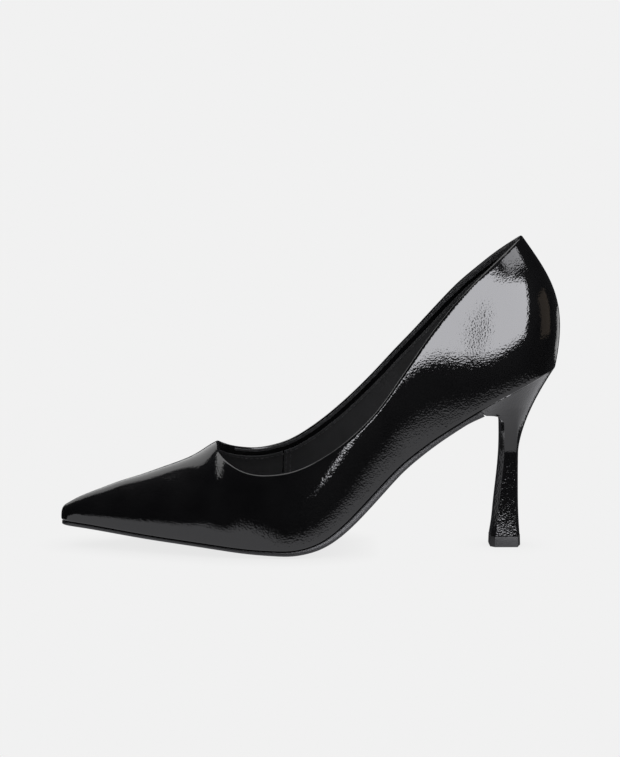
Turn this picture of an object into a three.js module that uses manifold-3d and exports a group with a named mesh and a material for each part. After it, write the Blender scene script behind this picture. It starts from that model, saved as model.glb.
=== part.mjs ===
// High heel court shoe for the left foot, in millimetres, +Z up, standing on its tread and its heel tip.
// X runs from the toe tip to the heel, -Y is the outer side of the foot. Every layer of the shoe is an offset
// of one last surface: a loop of wall profiles that starts on the featherline, where the upper turns under
// the foot, and climbs to the ridge of the vamp or to the topline of the quarters.
import * as THREE from "three";
import { mergeVertices } from "three/addons/utils/BufferGeometryUtils.js";
import Module from "manifold-3d";

// ---- Driving sizes -------------------------------------------------------------------------------------
const LENGTH = 244; // toe tip to the rearmost bulge of the counter
const BALL_WIDTH = 72.6; // featherline width across the ball of the foot
const HEEL_RISE = 84; // rise of the featherline from the ball to the back of the seat
const WALL_SCALE = 1; // height of the vamp and quarters over the featherline, against the size 37 last

const CLEARANCE = 0.3; // between two pieces that lie on each other
const UPPER_T = 1.2; // patent upper leather
const STIFFENER_T = 0.8; // toe puff and heel counter
const TAPE_T = 0.4; // topline and back seam tapes
const LINING_T = 0.7;
const GRIP_T = 0.6; // suede patch inside the back of the quarters
const LASTING_MARGIN = 12; // width turned under the insole
const OUTSOLE_T = 2.2; // at the forepart
const WAIST_SWELL = 1.1; // added to the outsole in the waist
const BOARD_T = 1.8; // insole board
const SHANK_BOARD_T = 1;
const FOAM_T = 2;
const INSOCK_T = 0.8;
const SHANK_T = 1.2;
const SHANK_WIDTH = 10;
const TREAD_CROWN = 2; // drop of the tread from its edges to its middle
const PRESSED_FLAT = 0.6; // the middle of the tread is pressed flat by this much
const BOARD_GAP = 0.7; // from the insole board's edge to the lining
const INSOCK_MARGIN = 0.2; // the insock ends this far inside the board's edge

const TIP_HEIGHT = 5.2;
const TIP_PROUD = 0.3; // the tip stands this far outside the heel's foot
const COVER_T = 0.6; // patent wrap of the heel
const HEEL_WING_STATION = 22.4; // where the heel's wings end, in stations of the last
const NECK_HEIGHT = 46; // the side flare of the heel has died out at this height
const DOWEL_R = 2.3;
const DOWEL_WALL = 0.9;
const DOWEL_TOP = 50;
const PIN_R = 1.1;
const PIN_TOP = 16;
const PIN_FOOT = 1.8;
const DOWEL_X = 218.9; // before grading
const SCREW_R = 1.9;
const NAIL_R = 1;
const RIVET_R = 1.4;
const RIVET_FOOT = 0.4;
const HEAD_T = 1; // every head is twice as wide as its shaft
const SCREW_LENGTH = 13; // below the seat
const NAIL_LENGTH = 7.5;

// ---- The last of a size 37, graded by the driving sizes --------------------------------------------------
const BASE = { length: 244, ballWidth: 72.6, heelRise: 84 };
const gradeX = LENGTH / BASE.length;
const gradeY = BALL_WIDTH / BASE.ballWidth;
const gradeRise = HEEL_RISE / BASE.heelRise;

// Natural cubic spline through [x, y] points, straight beyond both ends.
function curveThrough(points) {
  const last = points.length - 1;
  const bend = new Array(last + 1).fill(0);
  const carry = new Array(last + 1).fill(0);
  for (let i = 1; i < last; i++) {
    const before = points[i][0] - points[i - 1][0];
    const after = points[i + 1][0] - points[i][0];
    const slopeBefore = (points[i][1] - points[i - 1][1]) / before;
    const slopeAfter = (points[i + 1][1] - points[i][1]) / after;
    const pivot = 2 * (before + after) - before * carry[i - 1];
    carry[i] = after / pivot;
    bend[i] = (6 * (slopeAfter - slopeBefore) - before * bend[i - 1]) / pivot;
  }
  for (let i = last - 1; i > 0; i--) bend[i] -= carry[i] * bend[i + 1];
  return (x) => {
    const inside = Math.min(Math.max(x, points[0][0]), points[last][0]);
    let i = 0;
    while (i < last - 1 && inside > points[i + 1][0]) i++;
    const [x0, y0] = points[i];
    const [x1, y1] = points[i + 1];
    const span = x1 - x0;
    const a = (x1 - inside) / span;
    const b = 1 - a;
    const value = a * y0 + b * y1 + ((a ** 3 - a) * bend[i] + (b ** 3 - b) * bend[i + 1]) * span ** 2 / 6;
    const slope = (y1 - y0) / span + ((1 - 3 * a * a) * bend[i] + (3 * b * b - 1) * bend[i + 1]) * span / 6;
    return value + slope * (x - inside);
  };
}

// Rise of the featherline above its lowest point, along the foot: toe spring, tread, waist, heel seat.
const featherRise = curveThrough([
  [0, 9], [12, 8.3], [27, 6.9], [45, 5.1], [62, 3.7], [78, 2.2], [92, 0.8], [105, 0.1], [113, 0.15],
  [120, 1.4], [127, 4], [134, 8.5], [141, 14.6], [148, 21.7], [156, 30.2], [164, 38.4], [172, 45.1],
  [180, 51], [190, 57.6], [200, 63.9], [210, 69.8], [222, 75.7], [232, 80.4], [241, 84],
]);
// Height of the last's top line over the featherline: the vamp ridge up to the throat, then above the topline.
const topHeight = curveThrough([
  [2.4, 8.1], [7, 10.9], [13, 13.9], [19, 16.7], [29, 21.4], [38.5, 25.3], [48, 29.5], [58, 33.9], [67, 38.9],
  [72.5, 43], [76, 45.3], [81, 47.6], [88, 50.2], [98, 53.3], [110, 56], [122, 57.5], [137, 60], [155, 61.5],
  [172, 64.5], [188, 70], [200, 75.3], [208, 77.9], [214, 79.2], [220, 79.6],
]);
// Height of the topline over the featherline, outer and inner side.
const rimOuter = curveThrough([
  [76, 45.3], [77, 43.3], [78.5, 41.6], [80, 40.5], [84, 38.4], [88.7, 36.9], [94.3, 36.2], [101.7, 36.4],
  [110, 37.6], [119, 39.2], [128.5, 40.3], [137, 39.7], [146, 38.6], [155, 38.5], [164, 41.7], [176, 49.7],
  [185, 55.6], [194, 60.4], [203.6, 64.1], [210, 66.3], [216, 68.7], [224.2, 71.7], [241, 78],
]);
const rimInner = curveThrough([
  [76, 45.3], [77.2, 44.2], [79, 43.2], [82, 42.1], [87, 41], [93, 40.5], [98, 40.9], [107, 43.1], [117, 46.9],
  [127, 50.4], [137, 51.6], [147, 51.2], [157, 50.9], [167, 52], [177, 55], [187, 59.4], [196, 63.3],
  [206, 66.2], [215, 69], [224.2, 71.7], [241, 78],
]);
const treadCrown = curveThrough([
  [0, 0], [20, 0.2], [50, 0.8], [85, 1], [115, 1], [135, 0.5], [155, 0.12], [175, 0], [241, 0],
]);
const waistSwell = curveThrough([[0, 0], [100, 0], [118, 0.4], [132, 1], [165, 1], [190, 0.4], [210, 0.2]]);

// Stations from the toe tip to the back of the heel. x, outer and inner give the featherline, middle is where
// its row meets the centre of the sole, top is the x of the row's end on the top line, topOuter and topInner
// the y there. leanOuter and leanInner turn the wall outward at its foot, leanTop turns it in at its end, in
// degrees. foot and head are the lengths of the profile's two handles, against the wall's height.
const STATION_COLUMNS = [
  "x", "outer", "inner", "middle", "top", "topOuter", "topInner",
  "leanOuter", "leanInner", "leanTop", "foot", "head",
];
const STATIONS = [
  [-1.1, 0, 0, 9, 1.9, 0, 0, 1, 1, 90, 0.56, 0.36],
  [1, -3.8, 3.4, 9.2, 3.4, 0, 0, 2, 2, 90, 0.55, 0.36],
  [3.5, -6, 5.6, 10, 5.6, 0, 0, 3, 3, 90, 0.53, 0.37],
  [9, -8.6, 8.4, 12.5, 10.2, 0, 0, 4, 4, 90, 0.52, 0.37],
  [17, -12, 12.4, 18.5, 17.5, 0, 0, 5, 5, 90, 0.52, 0.39],
  [28, -16.4, 17.6, 28, 28, 0, 0, 5, 5, 90, 0.52, 0.41],
  [40, -20.9, 23, 40, 40, 0, 0, 5, 5, 90, 0.52, 0.42],
  [52, -25.2, 28.2, 52, 52, 0, 0, 5, 5, 90, 0.52, 0.42],
  [62, -28.6, 31.8, 62, 62, 0, 0, 5, 5, 90, 0.51, 0.41],
  [70, -31, 34, 70, 70, 0, 0, 6, 5, 90, 0.5, 0.4],
  [76, -32.6, 35.2, 76, 76, 0, 0, 6, 6, 90, 0.5, 0.39],
  [82, -33.9, 36, 82, 82, 0, 0, 7, 6, 90, 0.48, 0.37],
  [88, -34.9, 36.3, 88, 88, -9, 8, 7, 6, 72, 0.46, 0.35],
  [95, -35.7, 35.8, 95, 95, -17, 15, 8, 7, 53, 0.43, 0.34],
  [104, -36.3, 33.8, 104, 104, -23, 20.5, 8, 9, 38, 0.41, 0.33],
  [115, -36.2, 30, 115, 115, -27, 24, 8, 14, 27, 0.39, 0.33],
  [127, -34.4, 25.2, 127, 127, -29, 26, 8, 21, 20, 0.38, 0.33],
  [139, -31, 21.2, 139, 139, -29.2, 26.6, 9, 26, 15, 0.36, 0.33],
  [151, -28, 18.8, 151, 150.5, -28.6, 26.4, 9, 27, 12, 0.34, 0.33],
  [163, -25.8, 18, 163, 162, -27.6, 25.8, 9, 25, 10, 0.34, 0.33],
  [175, -24.4, 18.6, 175, 173.5, -26.2, 24.8, 9, 20, 10, 0.35, 0.33],
  [187, -23.8, 20.4, 187, 184.5, -24, 23, 8, 15, 11, 0.37, 0.34],
  [199, -24.1, 22.8, 199, 195, -20.8, 20, 8, 11, 13, 0.4, 0.35],
  [211, -24.6, 24.3, 209, 204, -16, 15.6, 8, 9, 18, 0.43, 0.37],
  [222, -23, 23, 214.5, 211, -11.4, 11.2, 9, 9, 24, 0.46, 0.39],
  [231, -18.6, 18.6, 218, 215.5, -7, 7, 10, 10, 30, 0.49, 0.41],
  [238, -10.8, 10.8, 220, 218.8, -3.4, 3.4, 11, 11, 34, 0.51, 0.42],
  [243.1, 0, 0, 220.6, 221, 0, 0, 11.5, 11.5, 36, 0.52, 0.43],
];
const BACK = STATIONS.length - 1;
const THROAT = 10; // station of the throat, the last one whose row ends on the vamp ridge

// One column of the station table as a uniform cubic B-spline. Outer-side stations count up from the toe tip,
// inner-side stations count down from it, and both meet again at the back.
function stationValue(station, outerColumn, innerColumn = outerColumn) {
  const cell = (i) => {
    const around = ((i % (2 * BACK)) + 3 * BACK) % (2 * BACK) - BACK;
    return STATIONS[Math.abs(around)][STATION_COLUMNS.indexOf(around < 0 ? innerColumn : outerColumn)];
  };
  const i = Math.floor(station);
  const t = station - i;
  const weights = [(1 - t) ** 3, 3 * t ** 3 - 6 * t ** 2 + 4, -3 * t ** 3 + 3 * t ** 2 + 3 * t + 1, t ** 3];
  return weights.reduce((sum, weight, k) => sum + weight * cell(i - 1 + k), 0) / 6;
}

const vec = (x, y, z) => new THREE.Vector3(x, y, z);
const radians = THREE.MathUtils.degToRad;
const LOWEST_FEATHER = OUTSOLE_T + TREAD_CROWN - PRESSED_FLAT;

const featherZ = (x) => LOWEST_FEATHER + gradeRise * featherRise(x / gradeX);
const slopeAt = (x) => featherZ(x + 0.5) - featherZ(x - 0.5);
const topZ = (x) => featherZ(x) + WALL_SCALE * topHeight(x / gradeX);
const upAt = (x) => vec(-slopeAt(x), 0, 1).normalize();

// A row of the last: its foot on the featherline, its middle under the foot and its wall profile.
function rowAt(station) {
  const x = gradeX * stationValue(station, "x");
  const foot = vec(x, gradeY * stationValue(station, "outer", "inner"), featherZ(x));
  const opposite = gradeY * stationValue(-station, "outer", "inner");
  const middle = vec(gradeX * stationValue(station, "middle"), (foot.y + opposite) / 2, 0);
  const topX = gradeX * stationValue(station, "top");
  const top = vec(topX, gradeY * stationValue(station, "topOuter", "topInner"), topZ(topX));
  const out = vec(foot.x - middle.x, foot.y - middle.y, 0);
  const reach = out.length();
  out.divideScalar(reach);
  const height = top.z - foot.z;
  const lean = radians(stationValue(station, "leanOuter", "leanInner"));
  const leanTop = radians(stationValue(station, "leanTop"));
  const ridgeSlope = Math.abs(station) <= THROAT ? topZ(topX + 0.5) - topZ(topX - 0.5) : 0;
  const low = foot.clone().addScaledVector(
    vec(out.x * Math.sin(lean), out.y * Math.sin(lean), Math.cos(lean)),
    height * stationValue(station, "foot"),
  );
  const inward = vec(out.x * Math.sin(leanTop), out.y * Math.sin(leanTop),
    out.x * ridgeSlope * Math.sin(leanTop) - Math.cos(leanTop)).normalize();
  const high = top.clone().addScaledVector(inward, height * stationValue(station, "head"));
  const profile = new THREE.CubicBezierCurve3(foot, low, high, top);
  return { station, foot, middle, out, reach, profile };
}

// Share of a row's profile that lies below the topline.
function rimShare(row) {
  if (Math.abs(row.station) <= THROAT) return 1;
  const rim = row.station > 0 ? rimOuter : rimInner;
  const over = (share) => {
    const p = row.profile.getPoint(share);
    return p.z - featherZ(p.x) - WALL_SCALE * rim(p.x / gradeX);
  };
  let low = 0.1;
  let high = 1;
  for (let i = 0; i < 40; i++) {
    const middle = (low + high) / 2;
    if (over(middle) < 0) low = middle;
    else high = middle;
  }
  return (low + high) / 2;
}

const rows = new Map();
function row(station) {
  const key = station.toFixed(4);
  if (!rows.has(key)) {
    const made = rowAt(station);
    made.rim = rimShare(made);
    rows.set(key, made);
  }
  return rows.get(key);
}

// Outward normal of the last at a share of a row's whole profile.
function wallNormal(at, share) {
  if (share === 1 && Math.abs(at.station) <= THROAT) {
    const x = at.profile.v3.x;
    return vec(topZ(x - 0.5) - topZ(x + 0.5), 0, 1).normalize();
  }
  const along = rowAt(at.station + 0.02).profile.getPoint(share);
  along.sub(rowAt(at.station - 0.02).profile.getPoint(share));
  const normal = along.cross(at.profile.getTangent(Math.min(share, 0.999)));
  return normal.normalize();
}

// Point of the wall, at a share of its height up to the topline and a depth under the last's surface.
function wallPoint(station, share, depth) {
  const at = row(station);
  const whole = share * at.rim;
  const point = at.profile.getPoint(whole);
  return depth === 0 ? point : point.addScaledVector(wallNormal(at, whole), -depth);
}

// Point under the foot, inset from the featherline towards the middle of the sole and lifted along the
// sole's normal.
function solePoint(station, inset, lift) {
  const at = row(station);
  const along = Math.min(inset / at.reach, 1);
  const x = at.foot.x - at.out.x * along * at.reach;
  const y = at.foot.y - at.out.y * along * at.reach;
  const drop = TREAD_CROWN * treadCrown(x / gradeX) * (1 - (1 - along) ** 2);
  return vec(x, y, featherZ(x) - drop).addScaledVector(upAt(x), lift);
}

// ---- Solids from grids ---------------------------------------------------------------------------------
const triangles = (list) => {
  const positions = [];
  for (const corners of list) for (const p of corners) positions.push(p.x, p.y, p.z);
  return positions;
};

function geometryOf(list) {
  const geometry = new THREE.BufferGeometry();
  geometry.setAttribute("position", new THREE.Float32BufferAttribute(triangles(list), 3));
  const merged = mergeVertices(geometry, 1e-3);
  const index = [...merged.index.array];
  const kept = [];
  let volume = 0;
  const a = vec(0, 0, 0);
  const b = vec(0, 0, 0);
  const c = vec(0, 0, 0);
  for (let i = 0; i < index.length; i += 3) {
    const [p, q, r] = index.slice(i, i + 3);
    if (p === q || q === r || r === p) continue;
    kept.push(p, q, r);
    a.fromBufferAttribute(merged.attributes.position, p);
    b.fromBufferAttribute(merged.attributes.position, q);
    c.fromBufferAttribute(merged.attributes.position, r);
    volume += a.dot(b.cross(c));
  }
  if (volume < 0) kept.reverse();
  merged.setIndex(kept);
  return merged;
}

const quad = (a, b, c, d) => [[a, b, c], [a, c, d]];
const flipped = (list) => list.map(([a, b, c]) => [a, c, b]);

// A sheet between two grids of points of the same size, face[i][j] and back[i][j]. Its edges are closed, apart
// from those that another half of the same sheet closes: openTop(i) for the last column, openEnds for the rows.
function sheet(face, back, { openTop = () => false, openStart = false, openEnd = false } = {}) {
  const list = [];
  const last = face.length - 1;
  const top = face[0].length - 1;
  for (let i = 0; i < last; i++) {
    for (let j = 0; j < top; j++) {
      list.push(...quad(face[i][j], face[i + 1][j], face[i + 1][j + 1], face[i][j + 1]));
      list.push(...quad(back[i][j], back[i][j + 1], back[i + 1][j + 1], back[i + 1][j]));
    }
    list.push(...quad(face[i][0], back[i][0], back[i + 1][0], face[i + 1][0]));
    if (!openTop(i)) list.push(...quad(face[i][top], face[i + 1][top], back[i + 1][top], back[i][top]));
  }
  for (let j = 0; j < top; j++) {
    if (!openStart) list.push(...quad(face[0][j], face[0][j + 1], back[0][j + 1], back[0][j]));
    if (!openEnd) {
      list.push(...quad(face[last][j], back[last][j], back[last][j + 1], face[last][j + 1]));
    }
  }
  return list;
}

// Stations of the rows of every layer on one side, so that facets of neighbouring layers stay parallel.
const ROWS = [
  0, 0.5, 1, 1.6, 2.3, 3, 3.7, 4.5, 5.5, 6.5, 7.5, 8.4, 9.2, 9.7, THROAT, 10.08, 10.22, 10.45, 10.8, 11.3, 12,
  12.8, 13.6, 14.4, 15, 15.7, 16.4, 17.1, 17.7, 18.4, 19.4, 20.4, 21.4, 22.4, 23.2, 24, 24.7, 25.4, 26.1, 26.6,
  BACK,
];
const WALL_SHARES = [0.16, 0.33, 0.52, 0.7, 0.86, 1];
const WALL_FOOT = WALL_SHARES[0]; // the corner at the featherline reaches up to this share

const stationsBetween = (from, to) => {
  const inside = ROWS.filter((s) => s > from + 0.05 && s < to - 0.05);
  return [from, ...inside, to];
};

// Towards the toe tip the margin is trimmed back, so that both sides don't meet.
const TRIMMED_MARGIN = 0.72;
const marginAt = (station) => Math.min(LASTING_MARGIN, TRIMMED_MARGIN * row(station).reach);

// Rows of one layer that turns under the foot: margin edge, corner at the featherline, then the wall.
function lastedRow(station, depth, lift) {
  return [
    solePoint(station, marginAt(station), lift),
    solePoint(station, depth, lift),
    ...WALL_SHARES.map((share) => wallPoint(station, share, depth)),
  ];
}

function lastedSheet(stations, depth, thickness, lift, open = {}) {
  const face = stations.map((s) => lastedRow(s, depth, lift));
  const back = stations.map((s) => lastedRow(s, depth + thickness, lift + thickness));
  const openTop = (i) => Math.max(Math.abs(stations[i]), Math.abs(stations[i + 1])) <= THROAT;
  return sheet(face, back, { openTop, ...open });
}

// A plain band on the wall between two shares of its height, with the same rows of points as the lasted sheets.
function wallBand(stations, lowShare, highShare, depth, thickness) {
  const inside = WALL_SHARES.filter((share) => share > lowShare + 0.02 && share < highShare - 0.02);
  const shares = [lowShare, ...inside, highShare];
  const grid = (d) => stations.map((s) => shares.map((share) => wallPoint(s, share, d)));
  const onVamp = (s) => Math.abs(s) <= THROAT;
  const openTop = (i) => highShare === 1 && onVamp(stations[i]) && onVamp(stations[i + 1]);
  return sheet(grid(depth), grid(depth + thickness), { openTop });
}

// A sheet under the foot from the outer to the inner edge. A row at the toe tip or the back folds on itself.
// A sheet that covers the lasting margin has a line of points along the margin's edge, as the margin has.
function soleSheet(from, to, inset, bottom, top, { overMargin = false, across = [0.5] } = {}) {
  const stations = stationsBetween(from, to);
  const insetAt = typeof inset === "function" ? inset : () => inset;
  const grid = (lift) => stations.map((s) => {
    const side = (sign) => {
      const reach = row(sign * s).reach;
      const edge = Math.min(insetAt(s, sign), 0.95 * reach);
      const inner = overMargin ? marginAt(sign * s) : edge;
      const insets = across.map((share) => inner + share * (reach - inner));
      return [edge, ...(overMargin ? [inner] : []), ...insets].map((at) => solePoint(sign * s, at, lift(s)));
    };
    return [...side(1), solePoint(s, row(s).reach, lift(s)), ...side(-1).reverse()];
  });
  const liftOf = (value) => (typeof value === "function" ? value : () => value);
  return sheet(grid(liftOf(top)), grid(liftOf(bottom)), { openStart: from === 0, openEnd: to === BACK });
}

// ---- Booleans ------------------------------------------------------------------------------------------
const wasm = await Module();
wasm.setup();

function solidOf(geometry) {
  const plain = geometry.index ? geometry.toNonIndexed() : geometry.clone();
  plain.deleteAttribute("normal");
  plain.deleteAttribute("uv");
  const merged = mergeVertices(plain, 1e-3);
  return new wasm.Manifold(new wasm.Mesh({
    numProp: 3,
    vertProperties: merged.attributes.position.array,
    triVerts: new Uint32Array(merged.index.array),
  }));
}

function surfaceOf(solid) {
  const made = solid.getMesh();
  const result = new THREE.BufferGeometry();
  result.setAttribute("position", new THREE.Float32BufferAttribute(made.vertProperties, 3));
  result.setIndex([...made.triVerts]);
  return result;
}

function cut(geometry, tools) {
  return surfaceOf(tools.reduce((solid, tool) => solid.subtract(solidOf(tool)), solidOf(geometry)));
}

// ---- Meshes --------------------------------------------------------------------------------------------
const shoe = new THREE.Group();
function addMesh(name, geometry, { color, roughness = 0.8, metalness = 0 }) {
  geometry.computeVertexNormals();
  const material = new THREE.MeshStandardMaterial({ color, roughness, metalness });
  const mesh = new THREE.Mesh(geometry, material);
  mesh.name = name;
  shoe.add(mesh);
  return mesh;
}

const PATENT = { color: 0x0b0b0c, roughness: 0.12 };
const LINING = { color: 0x1b1b1c, roughness: 0.85 };
const BOARD = { color: 0x8a6f52, roughness: 0.9 };
const FOAM = { color: 0xc9c3b4, roughness: 0.95 };
const STEEL = { color: 0x8d9094, roughness: 0.35, metalness: 1 };
const SOLE = { color: 0x141415, roughness: 0.45 };

// Depths under the last's surface, from the outside in.
const STIFFENER_DEPTH = UPPER_T + CLEARANCE;
const LINING_DEPTH = STIFFENER_DEPTH + STIFFENER_T + CLEARANCE;
const GRIP_DEPTH = LINING_DEPTH + LINING_T + CLEARANCE;
const INSOLE_INSET = LINING_DEPTH + LINING_T + BOARD_GAP;
// Lifts over the sole line, from the ground up.
const LINING_LIFT = UPPER_T + CLEARANCE;
const BOARD_LIFT = LINING_LIFT + LINING_T + CLEARANCE;
const BOARD_TOP = BOARD_LIFT + BOARD_T;
const PAD_LIFT = BOARD_TOP + CLEARANCE;
const INSOCK_LIFT = PAD_LIFT + FOAM_T + CLEARANCE;

// Upper: one piece, closed by a seam at the back, its margin turned under and its topline folded in.
const upperRing = [...ROWS, ...ROWS.slice(1, -1).reverse().map((s) => -s), 0];
addMesh("upper", geometryOf(lastedSheet(upperRing, 0, UPPER_T, 0, { openStart: true, openEnd: true })), PATENT);

// Toe puff and heel counter, the stiffeners between upper and lining.
const PUFF = [2.3, 6.5];
const puffHalf = (sign) => wallBand(stationsBetween(...PUFF).map((s) => sign * s), WALL_FOOT, 1,
  STIFFENER_DEPTH, STIFFENER_T);
addMesh("toe_puff", geometryOf([...puffHalf(1), ...flipped(puffHalf(-1))]), { color: 0xb9a98d });

const aroundBack = (from) => {
  const half = stationsBetween(from, BACK);
  return [...half, ...half.slice(0, -1).reverse().map((s) => -s)];
};
const COUNTER = { start: 17.7, low: WALL_FOOT, high: 0.62 };
const bandRoundBack = ({ start, low, high }, depth, thickness) =>
  geometryOf(wallBand(aroundBack(start), low, high, depth, thickness));
addMesh("heel_counter", bandRoundBack(COUNTER, STIFFENER_DEPTH, STIFFENER_T), { color: 0xa8916f });

// Tapes against stretch, under the folded topline and over the back seam.
const TOPLINE_TAPE = { start: 11.3, low: 0.945, high: 0.985 };
const SEAM_TAPE = { start: 26.1, low: COUNTER.high + 0.03, high: 0.92 };
addMesh("topline_tape", bandRoundBack(TOPLINE_TAPE, STIFFENER_DEPTH, TAPE_T), { color: 0x2b2b2d });
addMesh("back_seam_tape", bandRoundBack(SEAM_TAPE, STIFFENER_DEPTH, TAPE_T), { color: 0x2b2b2d });

// Linings: vamp, two quarters that meet at the back, and the suede grip over their seam.
const LINING_TOE = 2.8;
const LINING_JOINT = 14.4;
const JOINT_GAP = 0.04; // stations, about 0.4 mm
const vampLiningHalf = (sign) => lastedSheet(
  stationsBetween(LINING_TOE, LINING_JOINT - JOINT_GAP).map((s) => sign * s), LINING_DEPTH, LINING_T, LINING_LIFT,
);
addMesh("vamp_lining", geometryOf([...vampLiningHalf(1), ...flipped(vampLiningHalf(-1))]), LINING);
const quarterStations = stationsBetween(LINING_JOINT, BACK - JOINT_GAP);
addMesh("quarter_lining_outer",
  geometryOf(lastedSheet(quarterStations, LINING_DEPTH, LINING_T, LINING_LIFT)), LINING);
addMesh("quarter_lining_inner",
  geometryOf(lastedSheet(quarterStations.map((s) => -s), LINING_DEPTH, LINING_T, LINING_LIFT)), LINING);
const GRIP = { start: 23.2, low: 0.33, high: 0.95 };
addMesh("heel_grip", bandRoundBack(GRIP, GRIP_DEPTH, GRIP_T), { color: 0x232324, roughness: 1 });

// ---- Bottom --------------------------------------------------------------------------------------------
// A round pin square to the sole line.
function solePin(x, y, radius, bottom, top, sides = 12) {
  const pin = new THREE.CylinderGeometry(radius, radius, top - bottom, sides);
  pin.applyQuaternion(new THREE.Quaternion().setFromUnitVectors(vec(0, 1, 0), upAt(x)));
  const centre = vec(x, y, featherZ(x)).addScaledVector(upAt(x), (top + bottom) / 2);
  return pin.translate(centre.x, centre.y, centre.z);
}

// Fasteners, each with a countersunk head in the insole board: the heel's screw and nails, the shank's rivets.
const SHANK = [15.4, 22.7];
const SHANK_RIVETS = [18, 21.4];
const wingX = row(HEEL_WING_STATION).foot.x;
const rivet = (name, station) => {
  const at = row(station);
  return { name, x: at.foot.x, y: at.middle.y, radius: RIVET_R, foot: RIVET_FOOT };
};
const nail = (name, behindWing, y) =>
  ({ name, x: wingX + gradeX * behindWing, y, radius: NAIL_R, foot: -NAIL_LENGTH });
// The screw stands behind the heel's wings, with two nails before it and two behind.
const SCREW_BEHIND = 9;
const FRONT_NAILS = { behind: 6, apart: 18 };
const REAR_NAILS = { behind: 15, apart: 13 };
const heelFasteners = [
  { name: "heel_screw", x: wingX + gradeX * SCREW_BEHIND, y: 0, radius: SCREW_R, foot: -SCREW_LENGTH },
  nail("heel_nail_1", FRONT_NAILS.behind, -FRONT_NAILS.apart / 2),
  nail("heel_nail_2", FRONT_NAILS.behind, FRONT_NAILS.apart / 2),
  nail("heel_nail_3", REAR_NAILS.behind, -REAR_NAILS.apart / 2),
  nail("heel_nail_4", REAR_NAILS.behind, REAR_NAILS.apart / 2),
];
const fasteners = [
  ...heelFasteners,
  rivet("shank_rivet_front", SHANK_RIVETS[0]),
  rivet("shank_rivet_rear", SHANK_RIVETS[1]),
];
const THROUGH = BOARD_TOP + 2; // a hole's tool stands out of the board
const shaftHole = (f) => solePin(f.x, f.y, f.radius + CLEARANCE, f.foot - CLEARANCE, THROUGH);
const headHole = (f) => solePin(f.x, f.y, 2 * f.radius + CLEARANCE, BOARD_TOP - HEAD_T - CLEARANCE, THROUGH);
for (const f of fasteners) {
  const shaft = solidOf(solePin(f.x, f.y, f.radius, f.foot, BOARD_TOP - HEAD_T / 2));
  const head = solidOf(solePin(f.x, f.y, 2 * f.radius, BOARD_TOP - HEAD_T, BOARD_TOP));
  addMesh(f.name, surfaceOf(shaft.add(head)), STEEL);
}

const BOARD_START = 3;
const board = geometryOf(
  soleSheet(BOARD_START, BACK, INSOLE_INSET, BOARD_LIFT, BOARD_TOP, { overMargin: true }),
);
addMesh("insole_board", cut(board, fasteners.flatMap((f) => [shaftHole(f), headHole(f)])), BOARD);

// The shank lies under the board in the waist, with a stiffening board over the insole board there.
const shankInset = (s, sign) => row(sign * s).reach - SHANK_WIDTH / 2;
const SHANK_TOP = BOARD_LIFT - CLEARANCE;
const shank = geometryOf(soleSheet(...SHANK, shankInset, SHANK_TOP - SHANK_T, SHANK_TOP, { across: [] }));
addMesh("steel_shank", cut(shank, fasteners.map(shaftHole)), STEEL);
const SHANK_BOARD = { start: 16.4, end: 22.2, inset: 9 };
addMesh("shank_board", geometryOf(
  soleSheet(SHANK_BOARD.start, SHANK_BOARD.end, SHANK_BOARD.inset, PAD_LIFT, PAD_LIFT + SHANK_BOARD_T),
), { color: 0x6f5a44, roughness: 0.9 });
// Cork fills the forepart level with the margins that lie round it.
const FILLER = { start: 5.5, end: 15.3, inset: LASTING_MARGIN + 2 * CLEARANCE };
addMesh("bottom_filler", geometryOf(
  soleSheet(FILLER.start, FILLER.end, FILLER.inset, 0, LINING_LIFT + LINING_T),
), { color: 0x9c7b55, roughness: 1 });
const FOREPART_FOAM = { start: 5.5, end: 15.4, inset: 6 };
const HEEL_PAD = { start: 22.6, end: BACK, inset: 7 };
const pad = ({ start, end, inset }) => geometryOf(soleSheet(start, end, inset, PAD_LIFT, PAD_LIFT + FOAM_T));
addMesh("forepart_foam", pad(FOREPART_FOAM), FOAM);
addMesh("heel_pad", pad(HEEL_PAD), FOAM);
// The insock narrows to the toe, where the vamp closes over it.
const INSOCK_START = 5;
const TAPER = { from: 8, perStation: 0.7 };
const insockInset = (s) => INSOLE_INSET + INSOCK_MARGIN + TAPER.perStation * Math.max(0, TAPER.from - s);
addMesh("insock", geometryOf(
  soleSheet(INSOCK_START, BACK, insockInset, INSOCK_LIFT, INSOCK_LIFT + INSOCK_T, { overMargin: true }),
), LINING);

// Outsole: from the toe tip to the heel's wings, its tread pressed flat on the ground.
const OUTSOLE_INSET = 0.5;
const outsoleEnd = HEEL_WING_STATION - JOINT_GAP;
const outsoleBottom = (s) => -OUTSOLE_T - WAIST_SWELL * waistSwell(row(s).foot.x / gradeX);
const outsole = geometryOf(
  soleSheet(0, outsoleEnd, OUTSOLE_INSET, outsoleBottom, -CLEARANCE, { overMargin: true }),
);
const outsolePosition = outsole.attributes.position;
for (let i = 0; i < outsolePosition.count; i++) {
  outsolePosition.setZ(i, Math.max(outsolePosition.getZ(i), 0));
}
addMesh("outsole", outsole, SOLE);

// ---- Heel ----------------------------------------------------------------------------------------------
// Level sections of the heel's shaft: height, front, back and half width.
const SHAFT_SECTIONS = [
  [5.5, 210.6, 225.2, 7.3], [12, 211.5, 224.7, 6.7], [20, 212.2, 224.3, 6.2], [30, 213.2, 224.1, 5.9],
  [42, 214.3, 224, 5.8], [54, 214.8, 224.1, 6.1], [70, 214.8, 224.3, 6.6],
];
const shaftFront = curveThrough(SHAFT_SECTIONS.map(([z, front]) => [z, front]));
const shaftBack = curveThrough(SHAFT_SECTIONS.map(([z, , back]) => [z, back]));
const shaftHalf = curveThrough(SHAFT_SECTIONS.map(([z, , , half]) => [z, half]));
const HEEL_FOOT = TIP_HEIGHT + CLEARANCE;
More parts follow.
